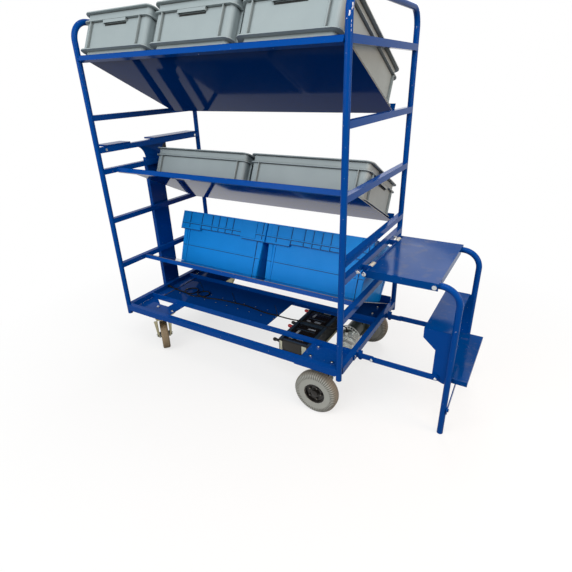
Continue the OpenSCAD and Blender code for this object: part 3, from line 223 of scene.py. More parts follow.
@dataclass(frozen=True)
class Finish:
    """A surface as it was made, with the sizes of its marks in millimetres.

    The colour drifts between base and shade in soft patches, the gloss changes with them, and a fine grain
    gives the relief. Where a finish asks for it, inner corners get painted shade.
    """

    name: str
    base: str
    shade: str
    roughness: float
    patch: float = 20.0
    gloss_drift: float = 0.06
    grain: float = 0.9
    depth: float = 0.02
    metallic: float = 0.0
    specular: float = 0.5
    wear: Wear = Wear.CLEAN
    wear_colour: str = "#c9c6bd"
    wear_share: float = 0.2
    chips: float = 0.0
    chip_colour: str = "#aeb9c9"
    # Share and colour of the painted shade that darkens inner corners
    corner_shade: float = 0.0
    corner_shade_colour: str = "#2c2f30"

    def make(self) -> bpy.types.Material:
        """Builds the material.

        Returns:
            The node material, with its grain, patches, wear and painted corner shade.
        """
        material = bpy.data.materials.new(self.name)
        material.use_nodes = True
        tree = material.node_tree
        shader = next(n for n in tree.nodes if n.type == "BSDF_PRINCIPLED")
        place = add_node(tree, "TexCoord").outputs["Object"]
        patches = noise(tree, place, self.patch, 3.0)
        colour = add_node(tree, "Mix", {"data_type": "RGBA", 6: linear(self.base), 7: linear(self.shade)},
                          {0: patches}).outputs[2]
        for share, mark in self.marks(tree, place):
            colour = add_node(tree, "Mix", {"data_type": "RGBA", 7: linear(mark)},
                              {0: share, 6: colour}).outputs[2]
        gloss = ramp(tree, patches, 0.3, 0.7, self.roughness + self.gloss_drift,
                     max(self.roughness - self.gloss_drift, SMOOTHEST))
        relief = add_node(tree, "Bump", {"Strength": 1.0, "Distance": self.depth * MM},
                          {"Height": noise(tree, place, self.grain, 2.0)})
        tree.links.new(colour, shader.inputs["Base Color"])
        tree.links.new(gloss, shader.inputs["Roughness"])
        tree.links.new(relief.outputs["Normal"], shader.inputs["Normal"])
        shader.inputs["Metallic"].default_value = self.metallic
        shader.inputs["Specular IOR Level"].default_value = self.specular
        return material

    def marks(self, tree: Tree, place: Socket) -> Marks:
        """Where use has marked the surface, and where painted shade darkens inner corners.

        Args:
            tree: The material's node tree.
            place: The object coordinates.

        Returns:
            Pairs of a share socket, 0 where clean, and the mark's colour.
        """
        found = []
        if self.wear in (Wear.DUST, Wear.SMEARS):
            facing = add_node(tree, "SeparateXYZ", {}, {0: add_node(tree, "TexCoord").outputs["Normal"]})
            spread = patchy(tree, place, DUST_SPECKS if self.wear is Wear.DUST else SHOE_SMEARS)
            top = ramp(tree, facing.outputs["Z"], *FACING_UP, self.wear_share)
            found.append((combine(tree, "MULTIPLY", top, spread), self.wear_colour))
        if self.wear is Wear.SCUFFS:
            drawn = add_node(tree, "Mapping", {"Scale": (0.3, 1.0, 1.0), "Rotation": (0.0, 0.0, 0.5)},
                             {"Vector": place})
            found.append((patchy(tree, drawn.outputs[0], RUB_LINES, self.wear_share), self.wear_colour))
        if self.chips:
            found.append((patchy(tree, place, CHIP_FLECKS, self.chips), self.chip_colour))
        if self.corner_shade:
            # Painted shade: a darker colour in inner corners, where little light reaches
            hollow = add_node(tree, "AmbientOcclusion",
                              {"samples": 6, "only_local": True, "Distance": CORNER_SHADE_REACH * MM})
            found.append((ramp(tree, hollow.outputs["AO"], *SHADED_CORNER, self.corner_shade), self.corner_shade_colour))
        return found


@dataclass(frozen=True)
class TyreRubber(Finish):
    """Tyre rubber marked round its axle: painted shade in the grooves between the shoulder ribs, and dirt on
    the tread with painted shade between its knobs.
    """

    axle: Pair = (1145.0, 102.5)
    outer: float = 102.5
    ribs: int = 60
    knob_rows: float = 6.5
    # Colour of the painted shade in the rib grooves and between the knobs
    groove_shade: str = "#4f4c44"
    # Shares of the radius at which the dirt, the shoulder's two ends and the tread set in
    dirty: Pair = (0.9, 0.99)
    shoulder: tuple[Pair, Pair] = ((0.73, 0.76), (0.985, 0.97))
    tread: Pair = (0.975, 0.985)
    # Shares of a pitch at which the painted shade in the gaps between ribs, rows and knobs sets in
    rib_gap: Pair = (0.52, 0.46)
    row_gap: Pair = (0.5, 0.65)
    knob_gap: Pair = (0.55, 0.4)
    # How dark the painted shade gets in the rib gaps and between the knobs
    gap_shade_share: float = 0.8
    pit_shade_share: float = 0.7

    def marks(self, tree: Tree, place: Socket) -> Marks:
        """Painted shade in the grooves between the shoulder ribs, road dirt, and painted shade in the gaps
        between the tread's knobs.

        Args:
            tree: The material's node tree.
            place: The object coordinates.

        Returns:
            Pairs of a share socket and the mark's colour.
        """
        span, both = partial(ramp, tree), partial(combine, tree)
        middle = at(self.axle[0], 0.0, self.axle[1])
        about = add_node(tree, "Mapping", {"Location": (-middle.x, 0.0, -middle.z)},
                         {"Vector": place}).outputs[0]
        axes = add_node(tree, "SeparateXYZ", {}, {0: about}).outputs
        flat = add_node(tree, "VectorMath", {"operation": "MULTIPLY", 1: (1.0, 0.0, 1.0)}, {0: about})
        radius = add_node(tree, "VectorMath", {"operation": "LENGTH"}, {0: flat.outputs[0]}).outputs["Value"]
        turn = both("ARCTAN2", axes["Z"], axes["X"])
        beat = both("FRACT", both("MULTIPLY", turn, self.ribs / math.tau))
        row = both("FRACT", both("MULTIPLY", axes["Y"], 1 / (self.knob_rows * MM)))

        def zone(edges: Pair, share: float = 1.0) -> Socket:
            """A share that sets in between two radii."""
            return span(radius, self.outer * MM * edges[0], self.outer * MM * edges[1], share)

        dirt = zone(self.dirty, self.wear_share)
        shoulder = both("MULTIPLY", zone(self.shoulder[0]), zone(self.shoulder[1]))
        gap_shade = both("MULTIPLY", both("MULTIPLY", span(beat, *self.rib_gap), shoulder), self.gap_shade_share)
        tread = both("MULTIPLY", zone(self.tread), span(row, *self.row_gap, self.pit_shade_share))
        pit_shade = both("MULTIPLY", tread, span(beat, *self.knob_gap))
        return [(dirt, self.wear_colour), (gap_shade, self.groove_shade), (pit_shade, self.groove_shade)]


# Gloss polyester powder coat, sprayed and baked: deep even blue with the slight ripple of orange
# peel, a little warehouse dust on what faces up and a few chips
POWDER_COAT = Finish("powder_coat_blue", "#004697", "#003f8a", 0.14, patch=140, gloss_drift=0.03, grain=3.2,
                     depth=0.012, specular=0.045, wear=Wear.DUST, wear_colour="#4f74a6", wear_share=0.08,
                     chips=0.5)
# The same coat on wide flat sheet, where it flows out smooth as a mirror; its base is a little darker than
# the frame's, painted shade for the sheets' dim undersides
SHADED_SHEET_COAT = Finish("powder_coat_blue_sheet_shaded", "#003c84", "#00367a", 0.06, patch=180, gloss_drift=0.02,
                    grain=6.0, depth=0.006, specular=0.016, wear=Wear.DUST, wear_colour="#4f74a6",
                    wear_share=0.05)
# The coat on the step, dulled and smeared by shoes; its base is a little darker than the frame's, a painted
# reflection of the dark legs in the glossy treads
DARKENED_STEP_COAT = Finish("powder_coat_blue_trodden_darkened", "#00438a", "#003c7e", 0.12, patch=120, gloss_drift=0.05,
                   grain=5.0, depth=0.01, specular=0.024, wear=Wear.SMEARS, wear_colour="#6d6a66",
                   wear_share=0.25, chips=0.4)
# Injection-moulded polypropylene: matt, slightly waxy, with pale rub marks from other totes, and painted
# shade darkening its inner corners
GREY_POLYPROPYLENE = Finish("moulded_polypropylene_grey", "#97a3a5", "#8f9b9d", 0.5, patch=90, specular=0.3,
                            wear=Wear.SCUFFS, wear_colour="#b0b9b9", wear_share=0.16, corner_shade=0.6)
BLUE_POLYPROPYLENE = Finish("moulded_polypropylene_blue", "#0a8ee6", "#0885da", 0.4, patch=90, specular=0.1,
                            wear=Wear.SCUFFS, wear_colour="#3aa2ec", corner_shade=0.55, corner_shade_colour="#0a3c70")
# Dark polypropylene strips of painted shade: under the grey totes' grips and rims, and beside the blue totes'
# ribs, along their skirts and under their waists
GREY_SLOT_SHADOW = Finish("painted_slot_shadow_grey", "#2b2d2c", "#232524", 0.6, specular=0.2)
GREY_RIM_SHADOW = Finish("painted_rim_shadow_grey", "#4b4f4e", "#3f4342", 0.6, specular=0.2)
BLUE_PAINTED_SHADE = Finish("painted_shade_blue", "#083a6c", "#073059", 0.5, specular=0.2)
# Non-marking grey tyre rubber: matt, a little chalky, ribbed at the shoulder and browned at the tread, with
# painted shade in the grooves and between the knobs
GREY_TYRE_RUBBER = TyreRubber("grey_tyre_rubber", "#adaea7", "#a2a39c", 0.72, patch=25, grain=1.1, depth=0.06,
                              specular=0.25, wear_colour="#7d7262", wear_share=0.7)
# Solid caster rubber: brown-grey, matt, dusty at the rim
CASTER_RUBBER = Finish("brown_caster_rubber", "#94826a", "#84755d", 0.75, patch=18, grain=1.0, depth=0.05,
                       specular=0.3)
# Passivated zinc plating on pressed steel: dull khaki, soft metallic cloudiness
STRAW_ZINC = Finish("passivated_zinc", "#b3ac8c", "#9d977a", 0.34, patch=14, grain=1.4, depth=0.01,
                    metallic=0.85)
# Bright zinc on bolts and shafts: cool silver
BRIGHT_ZINC = Finish("bright_zinc", "#cfd2d2", "#b9bdbd", 0.26, patch=9, grain=1.2, depth=0.006, metallic=1.0)
# Dull zinc on the rim's bolts, browned by dust
DULL_ZINC = Finish("dulled_zinc", "#6b645a", "#575148", 0.45, patch=9, grain=1.2, depth=0.01, metallic=0.6)
# Raw die-cast aluminium: pale grey metal with a sandy skin
DIE_CAST = Finish("die_cast_aluminium", "#d3d7d4", "#bcc1bd", 0.36, patch=22, grain=1.2, depth=0.025,
                  metallic=0.6)
# Brushed-on motor enamel: dark green-grey, satin
MOTOR_ENAMEL = Finish("motor_enamel", "#414c48", "#363f3c", 0.4, patch=30, grain=2.2, specular=0.4)
# Moulded black ABS: satin, fine spark-eroded grain
BLACK_ABS = Finish("moulded_abs_black", "#111418", "#0c0f12", 0.4, patch=30, grain=0.8, depth=0.03,
                   specular=0.22)
# The slate-coloured moulding of a battery's end caps
SLATE_ABS = Finish("moulded_abs_slate", "#2a3948", "#22303d", 0.42, specular=0.3)
# Black stoved enamel on pressed steel, browned by dust
BLACK_ENAMEL = Finish("stoved_enamel_black", "#1c1815", "#13110f", 0.26, grain=1.8, depth=0.01, specular=0.35)
# Cast nylon: grey hubs and pale bushes, slightly translucent to the eye, satin
GREY_NYLON = Finish("cast_nylon_grey", "#8e908a", "#82847e", 0.45, patch=12)
PALE_NYLON = Finish("cast_nylon_pale", "#dcd6c4", "#cbc4b0", 0.36, patch=12, depth=0.01)
# Glossy red moulding of the stop button and the terminal boots
RED_MOULDING = Finish("moulded_red", "#c41a24", "#ad141d", 0.3, patch=10, depth=0.01)
# Extruded PVC sheath: black, satin, faintly rippled
PVC_SHEATH = Finish("extruded_pvc_black", "#0d0c0c", "#141313", 0.42, patch=8, grain=1.5, specular=0.12)
# Plain film on the batteries: smooth, with a low sheen
CREAM_FILM = Finish("cream_film", "#c9c9b4", "#bdbda6", 0.4, grain=1.2, depth=0.004)
DARK_FILM = Finish("dark_film", "#2b2925", "#23211e", 0.34, grain=1.2, depth=0.004, specular=0.3)
PALE_FILM = Finish("pale_film", "#8b939b", "#7d858d", 0.36, patch=10, grain=1.2, depth=0.004)
# Strip along a sheet's edge: warm brown-grey, slightly metallic
BROWN_EDGE = Finish("brown_sheet_edge", "#5f5648", "#4d463b", 0.45, patch=12, grain=0.8, depth=0.01,
                   metallic=0.2)
# Cut edge of a tray's sheet seen end on: thin grey coat over bright steel
CUT_EDGE = Finish("cut_sheet_edge", "#a3a39a", "#8c8d86", 0.4, patch=14, grain=0.8, depth=0.008, metallic=0.3)
# Scraped coat: the pale primer under the blue, also painted as the highlight glinting on the bend
PRIMER_AND_GLINT = Finish("scraped_primer_and_glint", "#e3e9ef", "#cfd8e2", 0.5, patch=3, grain=0.8, specular=0.3)

SHEET_NODES = ("top_tray", "middle_tray", "lower_tray", "bay_floor", "console_covers")
STEP_NODES = ("step_platform", "upper_tread", "lower_tread")


@dataclass
class Palette:
    """Materials by the record's slot names, and those of the small fittings."""

    slots: dict[str, Finish] = field(default_factory=lambda: {
        "frame_paint": POWDER_COAT, "tote_grey": GREY_POLYPROPYLENE, "tote_blue": BLUE_POLYPROPYLENE,
        "drive_tyre": GREY_TYRE_RUBBER, "caster_tyre": CASTER_RUBBER, "zinc": STRAW_ZINC,
        "steel": BRIGHT_ZINC, "cast_alu": DIE_CAST, "motor_paint": MOTOR_ENAMEL, "black_plastic": BLACK_ABS,
        "rim_black": BLACK_ENAMEL, "hub_grey": GREY_NYLON, "bush": PALE_NYLON, "stop_red": RED_MOULDING,
        "cable": PVC_SHEATH})
    made: dict[str, bpy.types.Material] = field(default_factory=dict)

    def get(self, finish: Finish) -> bpy.types.Material:
        """Material of a finish, made once.

        Args:
            finish: The finish wanted.

        Returns:
            Its material.
        """
        if finish.name not in self.made:
            self.made[finish.name] = finish.make()
        return self.made[finish.name]

    def dress_nodes(self) -> None:
        """Gives every CAD node the finish of its slot, and sheet and step their own coats."""
        for row in frame["record"]["subparts"]:
            node = row["node"]
            finish = self.slots[row["material_slot"]]
            if node in SHEET_NODES:
                finish = SHADED_SHEET_COAT
            if node in STEP_NODES:
                finish = DARKENED_STEP_COAT
            mesh = frame["nodes"][node].data
            mesh.materials.clear()
            mesh.materials.append(self.get(finish))
            log.info("%s: %s", node, finish.name)


@dataclass(frozen=True)
class TraySeat:
    """A tilted tray: where its front bar lies and how far it leans."""

    bar: Pair
    tilt: float = 26.0
    middle: float = 630.0
    sheet_top: float = 12.3

    def spot(self, x: float, y: float, z: float) -> Vector:
        """Point of the row frame for a point on the tray.

        Args:
            x: Millimetres to the right of the trolley's middle.
            y: Millimetres back along the tray from its bar.
            z: Millimetres up, square to the tray, from its bar.

        Returns:
            The point in the row frame.
        """
        lean = math.radians(self.tilt)
        return at(self.middle + x, self.bar[0] + y * math.cos(lean) + z * math.sin(lean),
                  self.bar[1] - y * math.sin(lean) + z * math.cos(lean))


TOP_TRAY = TraySeat((0.0, 1467.0))
MIDDLE_TRAY = TraySeat((85.0, 983.0))
LOWER_TRAY = TraySeat((167.0, 499.0))


@dataclass
class Fitting:
    """A small piece made with mesh operators, its place in its mesh."""

    name: str
    body: str
    slot: str
    finish: Finish
    palette: Palette
    mesh: bmesh.types.BMesh = field(default_factory=bmesh.new)

    def turn(self, profile: Profile, axis: Vector, centre: Vector, steps: int = 24) -> None:
        """Adds a turned form.

        Args:
            profile: Radius and height along the axis, in millimetres, from end to end.
            axis: The direction of the turned form's axis.
            centre: Where height 0 lies.
            steps: Sides round the axis.
        """
        side = axis.orthogonal().normalized() * MM
        verts = [self.mesh.verts.new(centre + side * r + axis * (h * MM)) for r, h in profile]
        edges = [self.mesh.edges.new(pair) for pair in zip(verts, verts[1:])]
        bmesh.ops.spin(self.mesh, geom=verts + edges, cent=centre, axis=axis, dvec=(0, 0, 0), angle=math.tau,
                       steps=steps, use_merge=True, use_duplicate=False)
        bmesh.ops.remove_doubles(self.mesh, verts=self.mesh.verts, dist=1e-7)
        bmesh.ops.recalc_face_normals(self.mesh, faces=self.mesh.faces)

    def block(self, low: Vector, high: Vector, bevel: float = 0.0, turn: Matrix | None = None) -> None:
        """Adds a block with its edges rounded.

        Args:
            low: Lowest corner.
            high: Highest corner.
            bevel: Radius of the edges in millimetres.
            turn: A turn about the block's middle.
        """
        verts = bmesh.ops.create_cube(self.mesh, size=1.0)["verts"]
        bmesh.ops.scale(self.mesh, vec=high - low, verts=verts)
        if bevel:
            edges = list({e for v in verts for e in v.link_edges})
            made = bmesh.ops.bevel(self.mesh, geom=edges, offset=bevel * MM, segments=2, profile=0.5,
                                   affect="EDGES", material=-1)
            verts = made["verts"]
        if turn is not None:
            bmesh.ops.transform(self.mesh, matrix=turn, verts=verts)
        bmesh.ops.translate(self.mesh, vec=(low + high) / 2, verts=verts)

    def prism(self, outline: Sequence[Vector], move: Vector) -> None:
        """Adds a bar with a given outline.

        Args:
            outline: The corners of its base, in order.
            move: The way from its base to its far end.
        """
        base = self.mesh.faces.new([self.mesh.verts.new(corner) for corner in outline])
        grown = bmesh.ops.extrude_face_region(self.mesh, geom=[base], use_keep_orig=True)["geom"]
        bmesh.ops.translate(self.mesh, vec=move, verts=corners_of(grown))
        bmesh.ops.recalc_face_normals(self.mesh, faces=self.mesh.faces)

    def dome(self, centre: Vector, axis: Vector, radius: float, deep: float) -> None:
        """Adds a plated dome on the round head of a pin.

        Args:
            centre: Middle of the seat that the head stands on.
            axis: The direction that the head points in.
            radius: Radius of the dome in millimetres.
            deep: Height of the head in millimetres.
        """
        self.turn([(radius * r, deep + h) for r, h in DOME], axis, centre, 20)

    def seated_block(self, seat: TraySeat, low: Spot, high: Spot, bevel: float = 0.0) -> None:
        """Adds a block that lies square to a tilted tray.

        Args:
            seat: The tray.
            low: Its lowest corner in the tray's own millimetres.
            high: Its highest corner in the tray's own millimetres.
            bevel: Radius of the edges in millimetres.
        """
        middle = seat.spot(*((a + b) / 2 for a, b in zip(low, high)))
        half = (Vector(high) - Vector(low)) / 2 * MM
        self.block(middle - half, middle + half, bevel, Matrix.Rotation(-math.radians(seat.tilt), 4, "X"))

    def hex_bolt(self, centre: Vector, axis: Vector, size: float, stub: float) -> None:
        """Adds a washer and a hexagon, with a stub of thread.

        Args:
            centre: Middle of the seat.
            axis: The direction that the bolt points in.
            size: Radius to the hexagon's corners in millimetres.
            stub: Length of thread beyond the hexagon in millimetres.
        """
        washer, pitch = 1.2, 1.5
        self.turn([(0.0, 0.05), (size * 1.25, 0.05), (size * 1.25, washer), (0.0, washer)], axis, centre, 20)
        self.turn([(0.0, washer + 0.05), (size, washer + 0.05), (size, washer + size * 0.75),
                   (size * 0.85, washer + size * 0.9), (0.0, washer + size * 0.9)], axis, centre, 6)
        base = washer + 0.05 + size * 0.9
        thread = [(0.0, base)]
        for i in range(round(stub / pitch)):
            thread += [(size * 0.55, base + pitch * i), (size * 0.46, base + pitch * (i + 0.5))]
        self.turn(thread + [(0.0, thread[-1][1] + 0.1)], axis, centre, 14)

    def finish_piece(self) -> bpy.types.Object:
        """Makes the object, gives it its finish and lets it ride its body.

        Returns:
            The finished piece.
        """
        data = bpy.data.meshes.new(self.name)
        self.mesh.to_mesh(data)
        self.mesh.free()
        data.shade_smooth()
        data.set_sharp_from_angle(angle=math.radians(SHARP_ANGLE))
        data.materials.append(self.palette.get(self.finish))
        piece = new_object(self.name, data)
        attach(piece, self.body)
        log.info("%s: %s on %s", self.name, self.finish.name, self.body)
        return piece


@dataclass
class Assembly:
    """A group of fittings that share the palette."""

    palette: Palette

    def piece(self, name: str, slot: str, finish: Finish, body: str = "frame") -> Fitting:
        """An empty fitting that is to ride a body."""
        return Fitting(name, body, slot, finish, self.palette)


@dataclass
class SupplyLead(Assembly):
    """The supply lead in the bay: one smooth cable with its two reliefs and its ties."""

    diameter: float = 7.0
    pitch: float = 5.0
    # Flange, one rib, the way from rib to rib, and the far end of the boot at the end rail
    boot_flange: Profile = ((3.7, 0.2), (8.0, 0.2), (8.0, 3.0), (6.4, 4.0))
    boot_rib: Profile = ((6.3, 5.0), (6.3, 7.6), (5.4, 8.2), (5.4, 9.2))
    boot_step: Pair = (-0.35, 4.6)
    boot_end: Profile = ((3.7, 28.5), (3.7, 0.2))
    boot_ribs: int = 5
    gland: Profile = ((3.7, 0.1), (9.0, 0.1), (9.0, 5.6), (8.2, 6.4), (6.6, 7.4), (5.4, 11.5), (3.7, 12.4),
                      (3.7, 0.1))
    ties: Profile = ((493, 311), (776, 298), (246, 333))
    # Room under a tie's strap and room up to its outer face, and half its width
    strap: Pair = (0.05, 1.1)
    strap_half: float = 2.2
    head: Spot = (3.4, 2.6, 2.2)
    head_lift: float = 1.4
    tail: Spot = (2.0, 0.55, 34.0)
    tail_lean: float = 18.0
    tail_shift: float = 10.0
    # x, y and height above the bay's floor sheet, as the solid's route has them
    route: Sequence[Spot] = (
        (12.5, 290, 12), (26, 290, 12), (60, 288, 9), (100, 285, 5), (130, 282, 4), (152, 281, 4),
        (172, 281, 4), (190, 285.8, 4), (203.2, 299, 4), (208, 317, 4), (203.2, 335, 4),
        (190, 348.2, 4), (172, 353, 4), (154, 348.2, 4), (140.8, 335, 4.5), (136, 317, 6),
        (139, 299, 10), (150, 283, 13), (168, 272, 13), (190, 267.5, 8), (213, 268, 4), (236, 273, 4),
        (255, 278.5, 4), (273.2, 285.4, 4), (287.5, 296, 4), (295.5, 311.5, 4), (294, 328.6, 4),
        (283.9, 343, 4), (267.9, 350.5, 4), (250.4, 348.9, 4), (236, 338.9, 4.5), (228.5, 322.9, 6),
        (230, 305.4, 9), (239, 290, 13), (254, 279.5, 13.5), (272, 275.5, 13), (292, 277, 9),
        (314, 283, 5), (340, 291, 4), (366, 298, 4), (396, 303, 4), (430, 307, 4), (461, 309, 4),
        (495, 311, 4), (525, 313, 4), (560, 313, 4), (594, 310, 4), (632, 304, 4), (668, 299, 4),
        (702, 296, 4), (738, 296, 4), (776, 298, 4), (820, 303, 0), (862, 310, -3), (900, 318, -4),
        (930, 325, -5), (961, 328, -5), (1000, 327, -5), (1034, 328, -5.5), (1060, 334, -6),
        (1080, 345, -7), (1094, 359, -8.5), (1104.6, 372.8, -10), (1112.4, 383.2, -12.6),
        (1119, 392, -20), (1123.4, 397.9, -31), (1125, 400, -44), (1125, 400, -50))

    def path(self) -> list[Vector]:
        """Points close together along the route, on one smooth curve.

        Returns:
            The points in the row frame.
        """
        knots = [at(x, y, BAY_FLOOR + h) for x, y, h in self.route]
        last = len(knots) - 1
        points = []
        for i in range(last):
            a, b, c, d = knots[max(i - 1, 0)], knots[i], knots[i + 1], knots[min(i + 2, last)]
            count = max(1, round((c - b).length / (self.pitch * MM)))
            for t in (k / count for k in range(count)):
                points.append(0.5 * (2 * b + (c - a) * t + (2 * a - 5 * b + 4 * c - d) * t ** 2
                                     + (3 * b - a - 3 * c + d) * t ** 3))
        return points + [knots[last]]

    def build(self) -> None:
        points = self.path()
        curve = bpy.data.curves.new("supply_lead", "CURVE")
        curve.dimensions = "3D"
        curve.bevel_depth = self.diameter / 2 * MM
        curve.bevel_resolution = 4
        curve.use_fill_caps = True
        spline = curve.splines.new("POLY")
        spline.points.add(len(points) - 1)
        for spot, point in zip(spline.points, points):
            spot.co = (*point, 1.0)
        spline.use_smooth = True
        curve.materials.append(self.palette.get(PVC_SHEATH))
        lead = new_object("supply_lead", curve)
        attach(lead, "frame")
        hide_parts("supply_cable")
        length = sum((b - a).length for a, b in zip(points, points[1:]))
        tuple(points[0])
        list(self.reliefs())
        self.tie_straps(points)
        log.info("supply_lead: %.3f m from the end rail to the gland", length)

    def reliefs(self) -> list[bpy.types.Object]:
        """Ribbed boot at the end rail and gland nut at the drive.

        Returns:
            The two pieces.
        """
        first, last = (at(x, y, BAY_FLOOR + h) for x, y, h in (self.route[0], self.route[-1]))
        boot = self.piece("lead_boot", "black_plastic", BLACK_ABS)
        narrower, further = self.boot_step
        ribs = [(r + narrower * i, h + further * i) for i in range(self.boot_ribs) for r, h in self.boot_rib]
        boot.turn([*self.boot_flange, *ribs, *self.boot_end], X_AXIS, first, 20)
        gland = self.piece("lead_gland", "black_plastic", BLACK_ABS)
        gland.turn(self.gland, Z_AXIS, last, 6)
        return [boot.finish_piece(), gland.finish_piece()]

    def tie_straps(self, points: Sequence[Vector]) -> bpy.types.Object:
        """Nylon ties round the cable, each with its head and its long tail.

        Args:
            points: The cable's path.

        Returns:
            The ties as one piece.
        """
        straps = self.piece("lead_ties", "black_plastic", BLACK_ABS)
        inner, outer = raised(self.strap, self.diameter / 2)
        half = self.strap_half
        head, tail = Vector(self.head) * MM, Vector(self.tail) * MM
        lean = Matrix.Rotation(math.radians(self.tail_lean), 4, "X")
        for x, y in self.ties:
            near = at(x, y, 0.0)
            i = min(range(1, len(points) - 1), key=lambda k: (points[k].xy - near.xy).length)
            along = (points[i + 1] - points[i - 1]).normalized()
            straps.turn([(inner, -half), (outer, -half), (outer, half), (inner, half), (inner, -half)],
                        along, points[i], 20)
            top = points[i] + Z_AXIS * (outer + self.head_lift) * MM
            straps.block(top - head, top + head, 0.7)
            middle = top + Z_AXIS * tail.z - Y_AXIS * self.tail_shift * MM
            straps.block(middle - tail, middle + tail, 0.3, lean)
        return straps.finish_piece()


@dataclass
class BayFloor(Assembly):
    """Blind rivets and a brown-grey strip along the edge in the battery bay."""

    columns: Sequence[float] = (120, 225, 307, 388, 465, 540, 615, 692, 769)
    rows: Sequence[float] = (270, 332)
    rivet: Profile = ((3.2, 0.0), (3.2, 0.3), (2.4, 1.1), (1.12, 1.4), (0.0, 1.45))
    strip: tuple[Spot, Spot] = ((64.9, 163.4, 250.05), (65.85, 475.6, 253.25))

    def build(self) -> None:
        """Makes the rivet heads and the brown-grey edge of the strip at the left end."""
        rivets = self.piece("floor_rivets", "steel", STRAW_ZINC)
        for x in self.columns:
            for y in self.rows:
                rivets.turn(self.rivet, Z_AXIS, at(x, y, BAY_FLOOR), 16)
        rivets.finish_piece()
        edge = self.piece("strip_edge", "steel", BROWN_EDGE)
        edge.block(at(*self.strip[0]), at(*self.strip[1]), 0.2)
        edge.finish_piece()


@dataclass
class TrayEdges(Assembly):
    """The edges of the trays' sheets: a brown-grey strip along the lower tray's front, and thin-coated cut
    edges at the ends.
    """

    reach: float = 617.0
    front: Pair = (-10.3, -9.7)
    ends: Pair = (617.1, 617.7)
    up: Pair = (9.9, 12.2)
    start: float = 13.0
    depths: Sequence[tuple[TraySeat, float]] = ((TOP_TRAY, 569.0), (MIDDLE_TRAY, 591.0), (LOWER_TRAY, 566.0))

    def build(self) -> None:
        """Lays a thin trim along the lower tray's front and along the ends of all three."""
        low, high = self.up
        edge = self.piece("lower_tray_edge", "steel", BROWN_EDGE)
        near, far = self.front
        edge.seated_block(LOWER_TRAY, (-self.reach, near, low), (self.reach, far, high), 0.1)
        edge.finish_piece()
        trim = self.piece("tray_end_edges", "steel", CUT_EDGE)
        for seat, depth in self.depths:
            for side in (-1, 1):
                near, far = sorted(side * x for x in self.ends)
                trim.seated_block(seat, (near, self.start, low), (far, depth, high), 0.1)
        trim.finish_piece()


